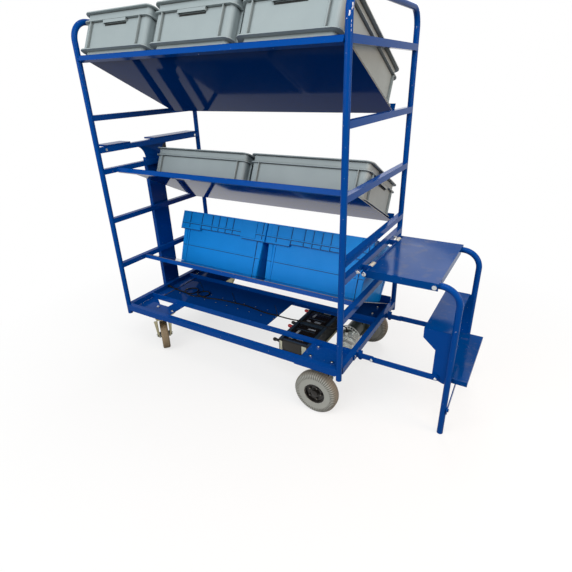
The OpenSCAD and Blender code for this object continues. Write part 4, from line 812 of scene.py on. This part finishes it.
@dataclass
class BlueTote(Assembly):
    """Corner bars of a blue tote, and strips of painted shade beside its ribs, along its skirt and under its
    waist.
    """

    node: str
    side: int
    length: float = 588.0
    pitch: float = 592.0
    back: float = 390.6
    high: float = 290.0
    skin: float = 197.0
    margin: float = 4.0
    # Places of the ribs as shares of the length, and the strip of painted shade beside each
    ribs: Sequence[float] = (-0.393, -0.247, -0.121, -0.039, 0.046, 0.129, 0.461)
    rib_line: Pair = (1.4, 4.8)
    rib_up: Pair = (198.0, 284.0)
    panel: Pair = (135.8, 232.8)
    end: float = 147.0
    # Heights of the skirt's edge at the ends and in the middle, of the painted shade along that edge, of the
    # painted shade line across the ribs and of the painted shade under the waist
    skirt: Pair = (185.0, 197.0)
    skirt_line: Pair = (0.1, 3.4)
    line: Pair = (218.4, 221.9)
    waist: Pair = (93.8, 96.9)
    waist_skin: float = 95.4
    waist_inset: float = 20.0
    # How far the wall lies from the tote's middle at the base, and how far it leans out
    wall: Pair = (172.0, 16.0)
    thin: float = 0.45
    bar_up: Pair = (0.6, 184.5)
    collar_up: Pair = (185.0, 289.8)
    collar: float = 25.0
    # Plan of a corner bar from the tote's middle, its inner edge in the thickness of the wall
    plan: Profile = ((241, 170.3), (241, 172.2), (265, 172.2), (268, 169.5), (268, 147), (264.3, 147),
                     (261.2, 155.3), (256, 162), (249.3, 167.2))
    # Plan of a strip of painted shade in the groove beside the right front corner bar
    groove_shade: Profile = ((241.0, 171.6), (241.0, 172.6), (243.8, 172.6), (243.8, 171.6))

    def build(self) -> None:
        """Stands the corner bars and lays the strips of painted shade on the front and on the back."""
        bars = self.piece(self.node + "_corner_bars", "tote_blue", BLUE_POLYPROPYLENE, self.node)
        # Dark strips of painted shade beside the ribs, along the skirt and waist and in one groove
        steps = self.piece(self.node + "_steps", "tote_blue", BLUE_PAINTED_SHADE, self.node)
        wider = [(x + self.collar, y + self.collar) for x, y in self.plan]
        for face in (-1, 1):
            self.dress(steps, face)
            for end in (-1, 1):
                self.stand(bars, (end, face), self.plan, self.bar_up, self.wall[1])
                self.stand(bars, (end, face), wider, self.collar_up, 0.0)
                if face < 0 < end:
                    self.stand(steps, (end, face), self.groove_shade, self.bar_up, self.wall[1], 0.0)
        bars.finish_piece()
        steps.finish_piece()

    def stand(self, piece: Fitting, corner: tuple[int, int], plan: Profile, up: Pair, lean: float,
              spread: float = 1.0) -> None:
        """Stands a bar at a corner, leaning out with the walls.

        Args:
            piece: The piece that it belongs to.
            corner: 1 or -1 for right or left, and for back or front.
            plan: Its outline at the base, as at the right back corner.
            up: Its lower and upper end above the tote's base.
            lean: How far the walls lean out over the tote's height.
            spread: The share of the lean that it follows sideways.
        """
        end, face = corner

        def spot(x: float, y: float, high: float) -> Vector:
            """Point of the row frame for a point of the bar."""
            out = lean * high / self.high
            return LOWER_TRAY.spot(self.side * self.pitch / 2 + end * (x + out * spread),
                                   self.back + face * (y + out), LOWER_TRAY.sheet_top + high)

        piece.prism([spot(x, y, up[0]) for x, y in plan], spot(0.0, 0.0, up[1]) - spot(0.0, 0.0, up[0]))

    def dress(self, steps: Fitting, face: int) -> None:
        """Lays one side's strips of painted shade.

        Args:
            steps: The piece that they belong to.
            face: -1 for the front, 1 for the back, where the ribs are turned end for end.
        """
        reach = self.length / 2 - self.margin
        inner = self.length / 2 - self.end
        for share in self.ribs:
            self.strip(steps, face, raised(self.rib_line, share * self.length), self.rib_up, self.skin)
        for span in ((-reach, self.panel[0]), (self.panel[1], reach)):
            self.strip(steps, face, span, self.line, self.skin)
        for span, z in (((-reach, -inner), self.skirt[0]), ((-inner, inner), self.skirt[1]),
                        ((inner, reach), self.skirt[0])):
            self.strip(steps, face, span, raised(self.skirt_line, z), self.skin)
        half = reach - self.waist_inset
        skin = self.wall[0] + self.wall[1] * self.waist_skin / self.high
        self.strip(steps, face, (-half, half), self.waist, skin)

    def strip(self, steps: Fitting, face: int, along: Pair, up: Pair, skin: float) -> None:
        """Lays one strip.

        Args:
            steps: The piece that it belongs to.
            face: -1 for the front, 1 for the back.
            along: Its ends on the front, left to right from the tote's middle.
            up: Its lower and upper edge above the tote's base.
            skin: How far the wall lies from the tote's middle.
        """
        near, far = raised(along if face < 0 else (-along[1], -along[0]), self.side * self.pitch / 2)
        front, back = sorted(self.back + face * (skin + thin) for thin in (-self.thin, self.thin))
        low, high = raised(up, LOWER_TRAY.sheet_top)
        steps.seated_block(LOWER_TRAY, (near, front, low), (far, back, high))


@dataclass
class GreyTote(Assembly):
    """Dark strips of painted shadow under a grey tote's two grips, where its hand slots are, and under its
    rims.
    """

    node: str
    seat: TraySeat
    x: float
    y: float
    endways: bool
    end_wall: float = 285.0
    side_wall: float = 185.0
    corner: float = 18.0
    grip: float = 126.0
    # Heights of the painted shadow under each grip, where the hand slot's shade falls
    slot: Pair = (110.5, 118.0)
    # Heights of the painted rim shadows: above the foot's rim, under the skirt's rim and under the top rim
    rim_shadows: Sequence[Pair] = ((19.1, 20.6), (128.6, 130.9), (163.4, 165.9))
    thin: float = 0.45

    def build(self) -> None:
        """Lays a painted shadow under each grip, and painted shadows under the rims round the walls."""
        # Dark strips of painted shadow for the hand slots under the grips
        slots = self.piece(self.node + "_slot_shadows", "tote_grey", GREY_SLOT_SHADOW, self.node)
        for side in (-1, 1):
            self.lay(slots, True, side, self.grip / 2, self.slot)
        slots.finish_piece()
        rim_shadows = self.piece(self.node + "_seams", "tote_grey", GREY_RIM_SHADOW, self.node)
        for up in self.rim_shadows:
            for side in (-1, 1):
                self.lay(rim_shadows, True, side, self.side_wall - self.corner, up)
                self.lay(rim_shadows, False, side, self.end_wall - self.corner, up)
        rim_shadows.finish_piece()

    def lay(self, piece: Fitting, on_end: bool, side: int, half: float, up: Pair) -> None:
        """Lays one strip on a wall.

        Args:
            piece: The piece that it belongs to.
            on_end: Whether the wall is one of the two short ones.
            side: 1 or -1 for one or the other of the two walls.
            half: Half the strip's length.
            up: Its lower and upper edge above the tote's base.
        """
        wall = self.end_wall if on_end else self.side_wall
        low, high = sorted(side * (wall + thin) for thin in (-self.thin, self.thin))
        if on_end == self.endways:
            corners = ((self.x - half, self.y + low), (self.x + half, self.y + high))
        else:
            corners = ((self.x + low, self.y - half), (self.x + high, self.y + half))
        base, top = raised(up, self.seat.sheet_top)
        piece.seated_block(self.seat, (*corners[0], base), (*corners[1], top))


@dataclass
class Battery(Assembly):
    """Plain films, end caps and terminal boots of a traction battery."""

    node: str
    outward: int
    lid: float = 18.0
    step: float = 2.0
    terminal: float = 8.0
    inset: float = 18.0
    drop: float = 27.0
    film: float = 0.4
    # x, y, length and width of each pale patch from the lid's middle
    patches: Sequence[tuple[float, float, float, float]] = (
        (-34, -58, 22, 13), (16, -54, 34, 15), (-30, 4, 12, 34), (22, 52, 40, 12))
    boot: Profile = ((0.0, 8.2), (7.2, 8.2), (7.2, 0.1), (9.4, 0.1), (9.4, 7.0), (8.2, 12.0), (7.0, 19.0),
                     (7.0, 25.0), (8.8, 29.0), (9.4, 34.0), (8.6, 39.5), (5.6, 43.0), (0.0, 44.0))

    def build(self) -> None:
        """Makes the films on the open side and on top, and the boots on the terminals."""
        low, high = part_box(self.node)
        low = low + X_AXIS * self.terminal * MM
        self.side_films(low, high)
        self.top_films(low, high)
        for name, y, finish, slot in (("black", low.y + self.inset * MM, BLACK_ABS, "black_plastic"),
                                      ("red", high.y - self.inset * MM, RED_MOULDING, "stop_red")):
            boot = self.piece("%s_%s_boot" % (self.node, name), slot, finish)
            boot.turn(self.boot, -X_AXIS, Vector((low.x, y, high.z - self.drop * MM)), 24)
            boot.finish_piece()

    def side_films(self, low: Vector, high: Vector) -> None:
        """Two cream films and a dark panel on the open side.

        Args:
            low: The case's lowest corner.
            high: The case's highest corner.
        """
        face = low.y if self.outward < 0 else high.y
        deep = face - self.outward * self.step * MM
        long = (high.x - low.x) / MM
        strips = self.piece(self.node + "_side_films", "bush", CREAM_FILM)
        panel = self.piece(self.node + "_side_panel", "motor_paint", DARK_FILM)
        thin = self.film * MM
        # Piece, its two ends, the face that it lies on, and its room below and above
        for piece, near, far, y, foot, head in (
                (strips, 3.0, self.lid - 0.5, face, 3, 12),
                (strips, long - 44, long - self.lid - 0.5, deep, 4, 12),
                (panel, self.lid + 0.5, long - 45, deep, 4, 10)):
            piece.block(Vector((low.x + near * MM, y - thin, low.z + foot * MM)),
                        Vector((low.x + far * MM, y + thin, high.z - head * MM)), 0.15)
        strips.finish_piece()
        panel.finish_piece()

    def top_films(self, low: Vector, high: Vector) -> None:
        """End caps, plain panel, ribs and pale patches on the lid.

        Args:
            low: The case's lowest corner.
            high: The case's highest corner.
        """
        middle = Vector(((low.x + high.x) / 2, (low.y + high.y) / 2, high.z - self.step * MM))
        size = (high - low) / MM

        def slab(piece: Fitting, place: Pair, plan: Pair, up: Pair, bevel: float) -> None:
            """Lays a slab of a given plan on the lid, its place from the lid's middle."""
            spot, half = Vector((*place, 0.0)), Vector((*plan, 0.0)) / 2
            piece.block(middle + (spot - half + Z_AXIS * up[0]) * MM,
                        middle + (spot + half + Z_AXIS * up[1]) * MM, bevel)

        caps = self.piece(self.node + "_end_caps", "black_plastic", SLATE_ABS)
        panel = self.piece(self.node + "_top_panel", "black_plastic", BLACK_ENAMEL)
        ribs = self.piece(self.node + "_top_ribs", "black_plastic", SLATE_ABS)
        patches = self.piece(self.node + "_top_patches", "hub_grey", PALE_FILM)
        slab(panel, (0, 0), (112, 152), (-0.1, 0.5), 0.2)
        for side in (-1, 1):
            slab(caps, (side * (size.x - self.lid) / 2, 0), (self.lid - 2, size.y - 2),
                 raised((-0.2, 0.5), self.step), 0.25)
            slab(ribs, (0, side * 84), (124, 8), (-0.1, 1.6), 0.6)
            slab(ribs, (0, side * 30), (96, 6), (0.4, 1.4), 0.4)
        for x, y, long, wide in self.patches:
            slab(patches, (x, y), (long, wide), (0.4, 0.75), 0.12)
        for piece in (caps, panel, ribs, patches):
            piece.finish_piece()


@dataclass
class DriveWheel(Assembly):
    """Shoulder ribs, rim bolts and hub dome of a driven wheel."""

    end: str
    outward: int
    outer: float = 102.5
    width: float = 52.0
    shoulder: float = 20.0
    ribs: int = 60
    rise: float = 1.5
    sink: float = 0.8
    arc: Pair = (4.0, 62.0)
    arc_steps: int = 4
    rib_foot: float = 75.0
    bolts: int = 5
    bolt_circle: float = 30.0
    bolt_seat: float = 20.0
    bolt: Profile = ((0.0, 0.0), (3.0, 0.0), (3.0, 0.8), (2.0, 1.8), (0.0, 2.1))
    dome_seat: float = 24.0
    dome: Profile = ((0.0, 0.1), (15.5, 0.1), (15.5, 0.5), (14.0, 1.0), (8.0, 1.4), (7.4, 1.5), (0.0, 1.6))

    def build(self) -> None:
        """Makes the ribs, the bolts and the dome on the wheel's own body."""
        low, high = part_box("%s_drive_tyre" % self.end)
        centre = (low + high) / 2
        body = "%s_drive_wheel" % self.end
        self.tyre_ribs(centre, body)
        out = Y_AXIS * self.outward
        bolts = self.piece("%s_rim_bolts" % self.end, "steel", DULL_ZINC, body)
        for i in range(self.bolts):
            turn = math.tau * i / self.bolts
            spot = centre + (X_AXIS * math.cos(turn) + Z_AXIS * math.sin(turn)) * self.bolt_circle * MM
            bolts.turn(self.bolt, out, spot + out * self.bolt_seat * MM, 12)
        bolts.finish_piece()
        dome = self.piece("%s_hub_dome" % self.end, "rim_black", BLACK_ENAMEL, body)
        dome.turn(self.dome, out, centre + out * self.dome_seat * MM, 28)
        dome.finish_piece()

    def tyre_ribs(self, centre: Vector, body: str) -> None:
        """Makes one rib from the side wall over each shoulder and repeats it round the wheel.

        Args:
            centre: Middle of the wheel.
            body: The body that it turns with.
        """
        piece = self.piece("%s_tyre_ribs" % self.end, "drive_tyre", GREY_TYRE_RUBBER, body)
        mesh = piece.mesh
        start, stop = self.arc
        step = (stop - start) / self.arc_steps
        angles = [math.radians(start + step * i) for i in range(self.arc_steps + 1)]
        for side in (-1, 1):
            loop = []
            for grow, turns in ((self.rise, angles), (-self.sink, angles[::-1])):
                reach = self.shoulder + grow
                run = [(self.outer - self.shoulder + reach * math.sin(a),
                        self.width / 2 - self.shoulder + reach * math.cos(a)) for a in turns]
                foot = [(self.rib_foot, self.width / 2 + grow * 0.4)]
                for r, y in (foot + run if grow > 0 else run + foot):
                    loop.append(mesh.verts.new(centre + MM * Vector((r, side * y, 0.0))))
            base = mesh.faces.new(loop)
            grown = bmesh.ops.extrude_face_region(mesh, geom=[base], use_keep_orig=True)["geom"]
            bmesh.ops.rotate(mesh, cent=centre, matrix=Matrix.Rotation(math.pi / self.ribs, 3, "Y"),
                             verts=corners_of(grown))
        bmesh.ops.recalc_face_normals(mesh, faces=mesh.faces)
        first = list(mesh.faces)
        for i in range(1, self.ribs):
            copy = bmesh.ops.duplicate(mesh, geom=first)["geom"]
            bmesh.ops.rotate(mesh, cent=centre, matrix=Matrix.Rotation(math.tau * i / self.ribs, 3, "Y"),
                             verts=corners_of(copy))
        piece.finish_piece()


@dataclass
class DriveCasting(Assembly):
    """Ridges round the gearbox, and the slotted ring between it and the motor."""

    gearbox: Pair = (1138.0, 121.5)
    ridges: Sequence[float] = (393.0, 405.0, 417.0)
    ridge: Profile = ((57.6, 0.0), (61.2, 0.6), (61.8, 1.6), (61.8, 3.8), (61.2, 4.8), (57.6, 5.4),
                      (57.6, 0.0))
    ring: Spot = (1118.0, 438.4, 152.5)
    thick: float = 3.0
    hoops: Sequence[Pair] = ((40.4, 47.0), (57.0, 62.0))
    bars: int = 22
    bar_half: float = 2.2

    def build(self) -> None:
        """Turns the ridges and the ring's two hoops, and sets the bars between the hoops."""
        ridges = self.piece("gearbox_ridges", "cast_alu", DIE_CAST)
        for y in self.ridges:
            ridges.turn(self.ridge, Y_AXIS, at(self.gearbox[0], y, self.gearbox[1]), 64)
        ridges.finish_piece()
        ring = self.piece("motor_ring", "cast_alu", DIE_CAST)
        centre = at(*self.ring)
        for inner, outer in self.hoops:
            ring.turn([(inner, 0.0), (outer, 0.0), (outer, self.thick), (inner, self.thick), (inner, 0.0)],
                      Y_AXIS, centre, 48)
        inner, outer = self.hoops[0][1], self.hoops[1][0]
        half = Vector(((outer - inner) / 2 + 1.0, self.thick / 2 - 0.2, self.bar_half)) * MM
        for i in range(self.bars):
            turn = Matrix.Rotation(math.tau * i / self.bars, 4, "Y")
            spot = centre + Y_AXIS * self.thick / 2 * MM + turn @ (X_AXIS * (inner + outer) / 2 * MM)
            ring.block(spot - half, spot + half, 0.0, turn)
        ring.finish_piece()


@dataclass
class CasterTrim(Assembly):
    """Turned-out flanges of a caster's fork, and the nuts on its axle."""

    end: str
    side: int
    pivot: Pair = (186.0, 52.0)
    turn: float = 40.0
    axle: Pair = (-45.0, 80.0)
    crown_drop: float = 5.7
    leg: float = 32.0
    # How far ahead of the swivel the fork's front edge lies at the crown and at the axle
    front: Pair = (34.0, -28.0)
    # Inner edge of a flange, and its outer edge at the crown and at its foot
    flange: Spot = (31.0, 47.0, 38.0)
    flange_foot: float = 94.0
    flange_t: float = 3.0
    nut: Profile = ((6.2, 0.1), (13.2, 0.1), (13.2, 1.6), (11.6, 1.8), (11.6, 7.8), (10.2, 8.8), (6.2, 8.8),
                    (6.2, 0.1))
    tip: Profile = ((0.0, 8.3), (6.1, 8.3), (6.1, 11.6), (5.0, 12.8), (0.0, 13.0))

    def spot(self, along: float, across: float, z: float) -> Vector:
        """Point of the row frame for a point of the fork.

        Args:
            along: Millimetres ahead of the swivel's axis, against the trail.
            across: Millimetres out along the axle.
            z: Millimetres above the floor.

        Returns:
            The point in the row frame.
        """
        turn = math.radians(self.turn)
        ahead = Vector((math.cos(turn), self.side * math.sin(turn), 0.0))
        out = Vector((-ahead.y, ahead.x, 0.0))
        y = self.pivot[1] if self.side < 0 else FRAME_WIDTH - self.pivot[1]
        return at(self.pivot[0], y, z) + (ahead * along + out * across) * MM

    def build(self) -> None:
        """Makes the flanges, the dark nuts and the axle's bright ends on the swivelling body."""
        body = "%s_caster" % self.end
        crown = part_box("%s_caster_fork" % self.end)[1].z / MM - self.crown_drop
        flanges = self.piece("%s_fork_flanges" % self.end, "zinc", STRAW_ZINC, body)
        nuts = self.piece("%s_axle_nuts" % self.end, "black_plastic", BLACK_ENAMEL, body)
        tips = self.piece("%s_axle_tips" % self.end, "steel", BRIGHT_ZINC, body)
        (top, eye), (inner, wide, narrow), foot = self.front, self.flange, self.flange_foot
        low = top + (eye - top) * (crown - foot) / (crown - self.axle[1])
        centre = self.spot(0.0, 0.0, 0.0)
        for out in (-1, 1):
            face = ((top, inner, crown), (top, wide, crown), (low, narrow, foot), (low, inner, foot))
            flanges.prism([self.spot(a, out * w, z) for a, w, z in face],
                          self.spot(-self.flange_t, 0.0, 0.0) - centre)
            seat = self.spot(self.axle[0], out * self.leg, self.axle[1])
            axis = (self.spot(0.0, out, 0.0) - centre).normalized()
            nuts.turn(self.nut, axis, seat, 6)
            tips.turn(self.tip, axis, seat, 18)
        for piece in (flanges, nuts, tips):
            piece.finish_piece()


@dataclass
class TubeChipsAndGlints(Assembly):
    """Scraped spots at the top of the right front upright, partly painted highlight where light glints on the
    tube.
    """

    upright: Pair = (1260.0, 0.0)
    # Bearing in degrees, height, width and length of each spot, and how far the bend leads it back
    spots: Sequence[tuple[float, float, float, float, float]] = (
        (-27, 1556, 4.6, 9, 2.2), (-23, 1549, 3.0, 6, 1.0), (-34, 1545, 2.2, 5, 0.4),
        (-64, 1537, 4.2, 8, 0.0), (-70, 1530, 2.8, 6, 0.0), (-58, 1532, 1.8, 4, 0.0),
        (-104, 1521, 2.2, 3, 0.0), (-36, 1514, 1.1, 6, 0.0), (-36, 1503, 1.1, 7, 0.0),
        (-35, 1491, 1.0, 6, 0.0))
    thick: float = 0.3
    sink: float = 0.02

    def build(self) -> None:
        """Lays thin pale flakes on the tube: scraped primer and painted glints."""
        chips = self.piece("tube_chips_and_glints", "steel", PRIMER_AND_GLINT)
        for bearing, z, wide, long, back in self.spots:
            turn = Matrix.Rotation(math.radians(bearing), 4, "Z")
            out = turn @ X_AXIS * (TUBE_RADIUS - self.sink) * MM
            middle = at(self.upright[0], self.upright[1] + back, z) + out
            half = Vector((self.thick, wide, long)) / 2 * MM
            chips.block(middle - half, middle + half, 0.0, turn)
        chips.finish_piece()


@dataclass
class StepBolts(Assembly):
    """Plated heads on the step's pivots, and the sleeves and bolts at its hinge."""

    link_pin: Spot = (1347.0, 147.2, 261.0)
    hinge_pin: Spot = (1303.0, 121.7, 668.0)
    beam_bolt: Spot = (1272.5, 118.0, 671.0)
    leg_pin: Spot = (1617.0, 145.5, 261.0)
    brace_pins: Sequence[Spot] = ((1682.5, 144.5, 124.0), (1682.5, 559.5, 226.0))
    sleeves: Sequence[Spot] = ((1303.0, 183.0, 668.0), (1303.0, 521.0, 668.0))
    sleeve: Profile = ((10.05, 0.2), (13.0, 0.2), (13.6, 1.0), (13.6, 43.8), (13.0, 44.6), (10.05, 44.6),
                       (10.05, 0.2))

    def build(self) -> None:
        """Makes the heads on the frame and on the legs, and the hinge's sleeves."""
        fixed = self.piece("hinge_and_link_heads", "steel", BRIGHT_ZINC)
        swung = self.piece("leg_heads", "steel", BRIGHT_ZINC, "legs")
        for _, side in ENDS:
            axis = Y_AXIS * side
            link, hinge, beam, leg = (
                at(x, y if side < 0 else FRAME_WIDTH - y, z)
                for x, y, z in (self.link_pin, self.hinge_pin, self.beam_bolt, self.leg_pin))
            fixed.dome(link, axis, 6.5, 5.7)
            fixed.dome(hinge, axis, 8.6, 6.0)
            fixed.hex_bolt(beam, X_AXIS, 6.0, 7.5)
            swung.dome(leg, axis, 6.0, 5.0)
        for pin in self.brace_pins:
            swung.dome(at(*pin), X_AXIS, 5.5, 4.0)
        fixed.finish_piece()
        swung.finish_piece()
        bushes = self.piece("hinge_sleeves", "bush", PALE_NYLON)
        for place in self.sleeves:
            bushes.turn(self.sleeve, Y_AXIS, at(*place), 28)
        bushes.finish_piece()


@dataclass(frozen=True)
class Lamp:
    """A large soft lamp."""

    name: str
    place: Spot
    aim: Spot
    size: float
    watts: float
    tint: str = "#ffffff"

    def hang(self) -> None:
        """Hangs the lamp and turns it to what it lights."""
        data = bpy.data.lights.new(self.name, "AREA")
        data.color = linear(self.tint)[:3]
        data.shape = "DISK"
        data.size = self.size
        data.energy = self.watts
        turn = (at(*self.aim) - at(*self.place)).to_track_quat("-Z", "Y").to_matrix().to_4x4()
        new_object(self.name, data).matrix_world = Matrix.Translation(at(*self.place)) @ turn


@dataclass
class Studio:
    """Pale floor, soft light and the camera at the photograph's angle."""

    eye: Spot = (1852.9, -1372.0, 1368.4)
    right: Spot = (0.8601, 0.5094, -0.0280)
    up: Spot = (-0.1972, 0.3826, 0.9026)
    lens: float = 27.44
    sensor: float = 36.0
    view_end: float = 100.0
    floor_size: float = 40.0
    # Distances over which the floor turns from shadowed to plain white, and its own glow at the first
    shadow_reach: Pair = (0.9, 1.9)
    glow: float = 0.7
    lamps: Sequence[Lamp] = (
        Lamp("key", (2300, -1500, 3300), (630, 350, 700), 2.2, 50),
        Lamp("fill", (-300, -3200, 2300), (630, 350, 650), 3.0, 86),
        Lamp("side", (3900, 0, 1700), (900, 350, 900), 1.8, 44, "#ffdcc0"),
        Lamp("back", (500, 3000, 2800), (630, 350, 900), 2.4, 44))
    surround: float = 0.42

    def camera(self) -> None:
        """Sets the camera where the photograph was taken."""
        data = bpy.data.cameras.new("camera")
        data.lens = self.lens
        data.sensor_width = self.sensor
        data.clip_end = self.view_end
        right = Vector(self.right).normalized()
        up = (Vector(self.up) - right * right.dot(Vector(self.up))).normalized()
        turn = Matrix((right, up, right.cross(up))).transposed().to_4x4()
        seen = new_object("camera", data)
        seen.matrix_world = Matrix.Translation(at(*self.eye)) @ turn
        bpy.context.scene.camera = seen

    def floor(self) -> None:
        """Lays a pale floor that stays white to the camera and keeps a soft shadow."""
        mesh = bmesh.new()
        bmesh.ops.create_grid(mesh, x_segments=1, y_segments=1, size=self.floor_size / 2)
        data = bpy.data.meshes.new("floor")
        mesh.to_mesh(data)
        mesh.free()
        floor = new_object("floor", data)
        material = bpy.data.materials.new("pale_floor")
        material.use_nodes = True
        tree = material.node_tree
        tree.nodes.clear()
        seen = seen_share(tree)
        far = add_node(tree, "VectorMath", {"operation": "LENGTH"},
                       {0: add_node(tree, "TexCoord").outputs["Object"]}).outputs["Value"]
        share = combine(tree, "MULTIPLY", ramp(tree, far, *self.shadow_reach, 1.0, self.glow), seen)
        # The object's undersides get the weaker bounce of a grey floor
        tone = add_node(tree, "Mix", {"data_type": "RGBA", 6: linear("#5a5a58"), 7: linear("#f4f4f2")},
                        {0: seen})
        paint = add_node(tree, "BsdfDiffuse", {}, {"Color": tone.outputs[2]})
        white = add_node(tree, "Emission", {"Color": (1, 1, 1, 1), "Strength": 1.0})
        mixed = add_node(tree, "MixShader", {}, {0: share, 1: paint.outputs[0], 2: white.outputs[0]})
        add_node(tree, "OutputMaterial", {}, {0: mixed.outputs[0]})
        data.materials.append(material)

    def light(self) -> None:
        """Hangs the large soft lamps in a plain pale surround."""
        for lamp in self.lamps:
            lamp.hang()
        world = bpy.data.worlds.new("surround")
        bpy.context.scene.world = world
        world.use_nodes = True
        tree = world.node_tree
        tree.nodes.clear()
        soft = add_node(tree, "Background", {"Color": linear("#f6f8fb"), "Strength": self.surround})
        white = add_node(tree, "Background", {"Color": (1, 1, 1, 1), "Strength": 1.0})
        mixed = add_node(tree, "MixShader", {},
                         {0: seen_share(tree), 1: soft.outputs[0], 2: white.outputs[0]})
        add_node(tree, "OutputWorld", {}, {0: mixed.outputs[0]})

    def build(self) -> None:
        """Sets camera, floor and light."""
        self.camera()
        self.floor()
        self.light()
        bpy.context.scene.view_settings.view_transform = "Standard"


def main() -> None:
    """Builds the studio and dresses the trolley, piece by piece."""
    logging.basicConfig(level=logging.INFO, format="%(name)s %(message)s")
    palette = Palette()
    Studio().build()
    SupplyLead(palette).build()
    palette.dress_nodes()
    BayFloor(palette).build()
    for end, side in ENDS:
        Battery(palette, end + "_battery", side).build()
    TrayEdges(palette).build()
    TubeChipsAndGlints(palette).build()
    for name, side in (("left", -1), ("right", 1)):
        BlueTote(palette, "blue_tote_" + name, side).build()
    for name, x in (("left", -410.0), ("middle", 0.0), ("right", 410.0)):
        GreyTote(palette, "top_tote_" + name, TOP_TRAY, x, 270.7, True).build()
    for name, x in (("left", -305.0), ("right", 305.0)):
        GreyTote(palette, "middle_tote_" + name, MIDDLE_TRAY, x, 392.7, False).build()
    for end, side in ENDS:
        DriveWheel(palette, end, side).build()
    DriveCasting(palette).build()
    for end, side in ENDS:
        CasterTrim(palette, end, side).build()
    StepBolts(palette).build()


if __name__ == "__main__":
    main()
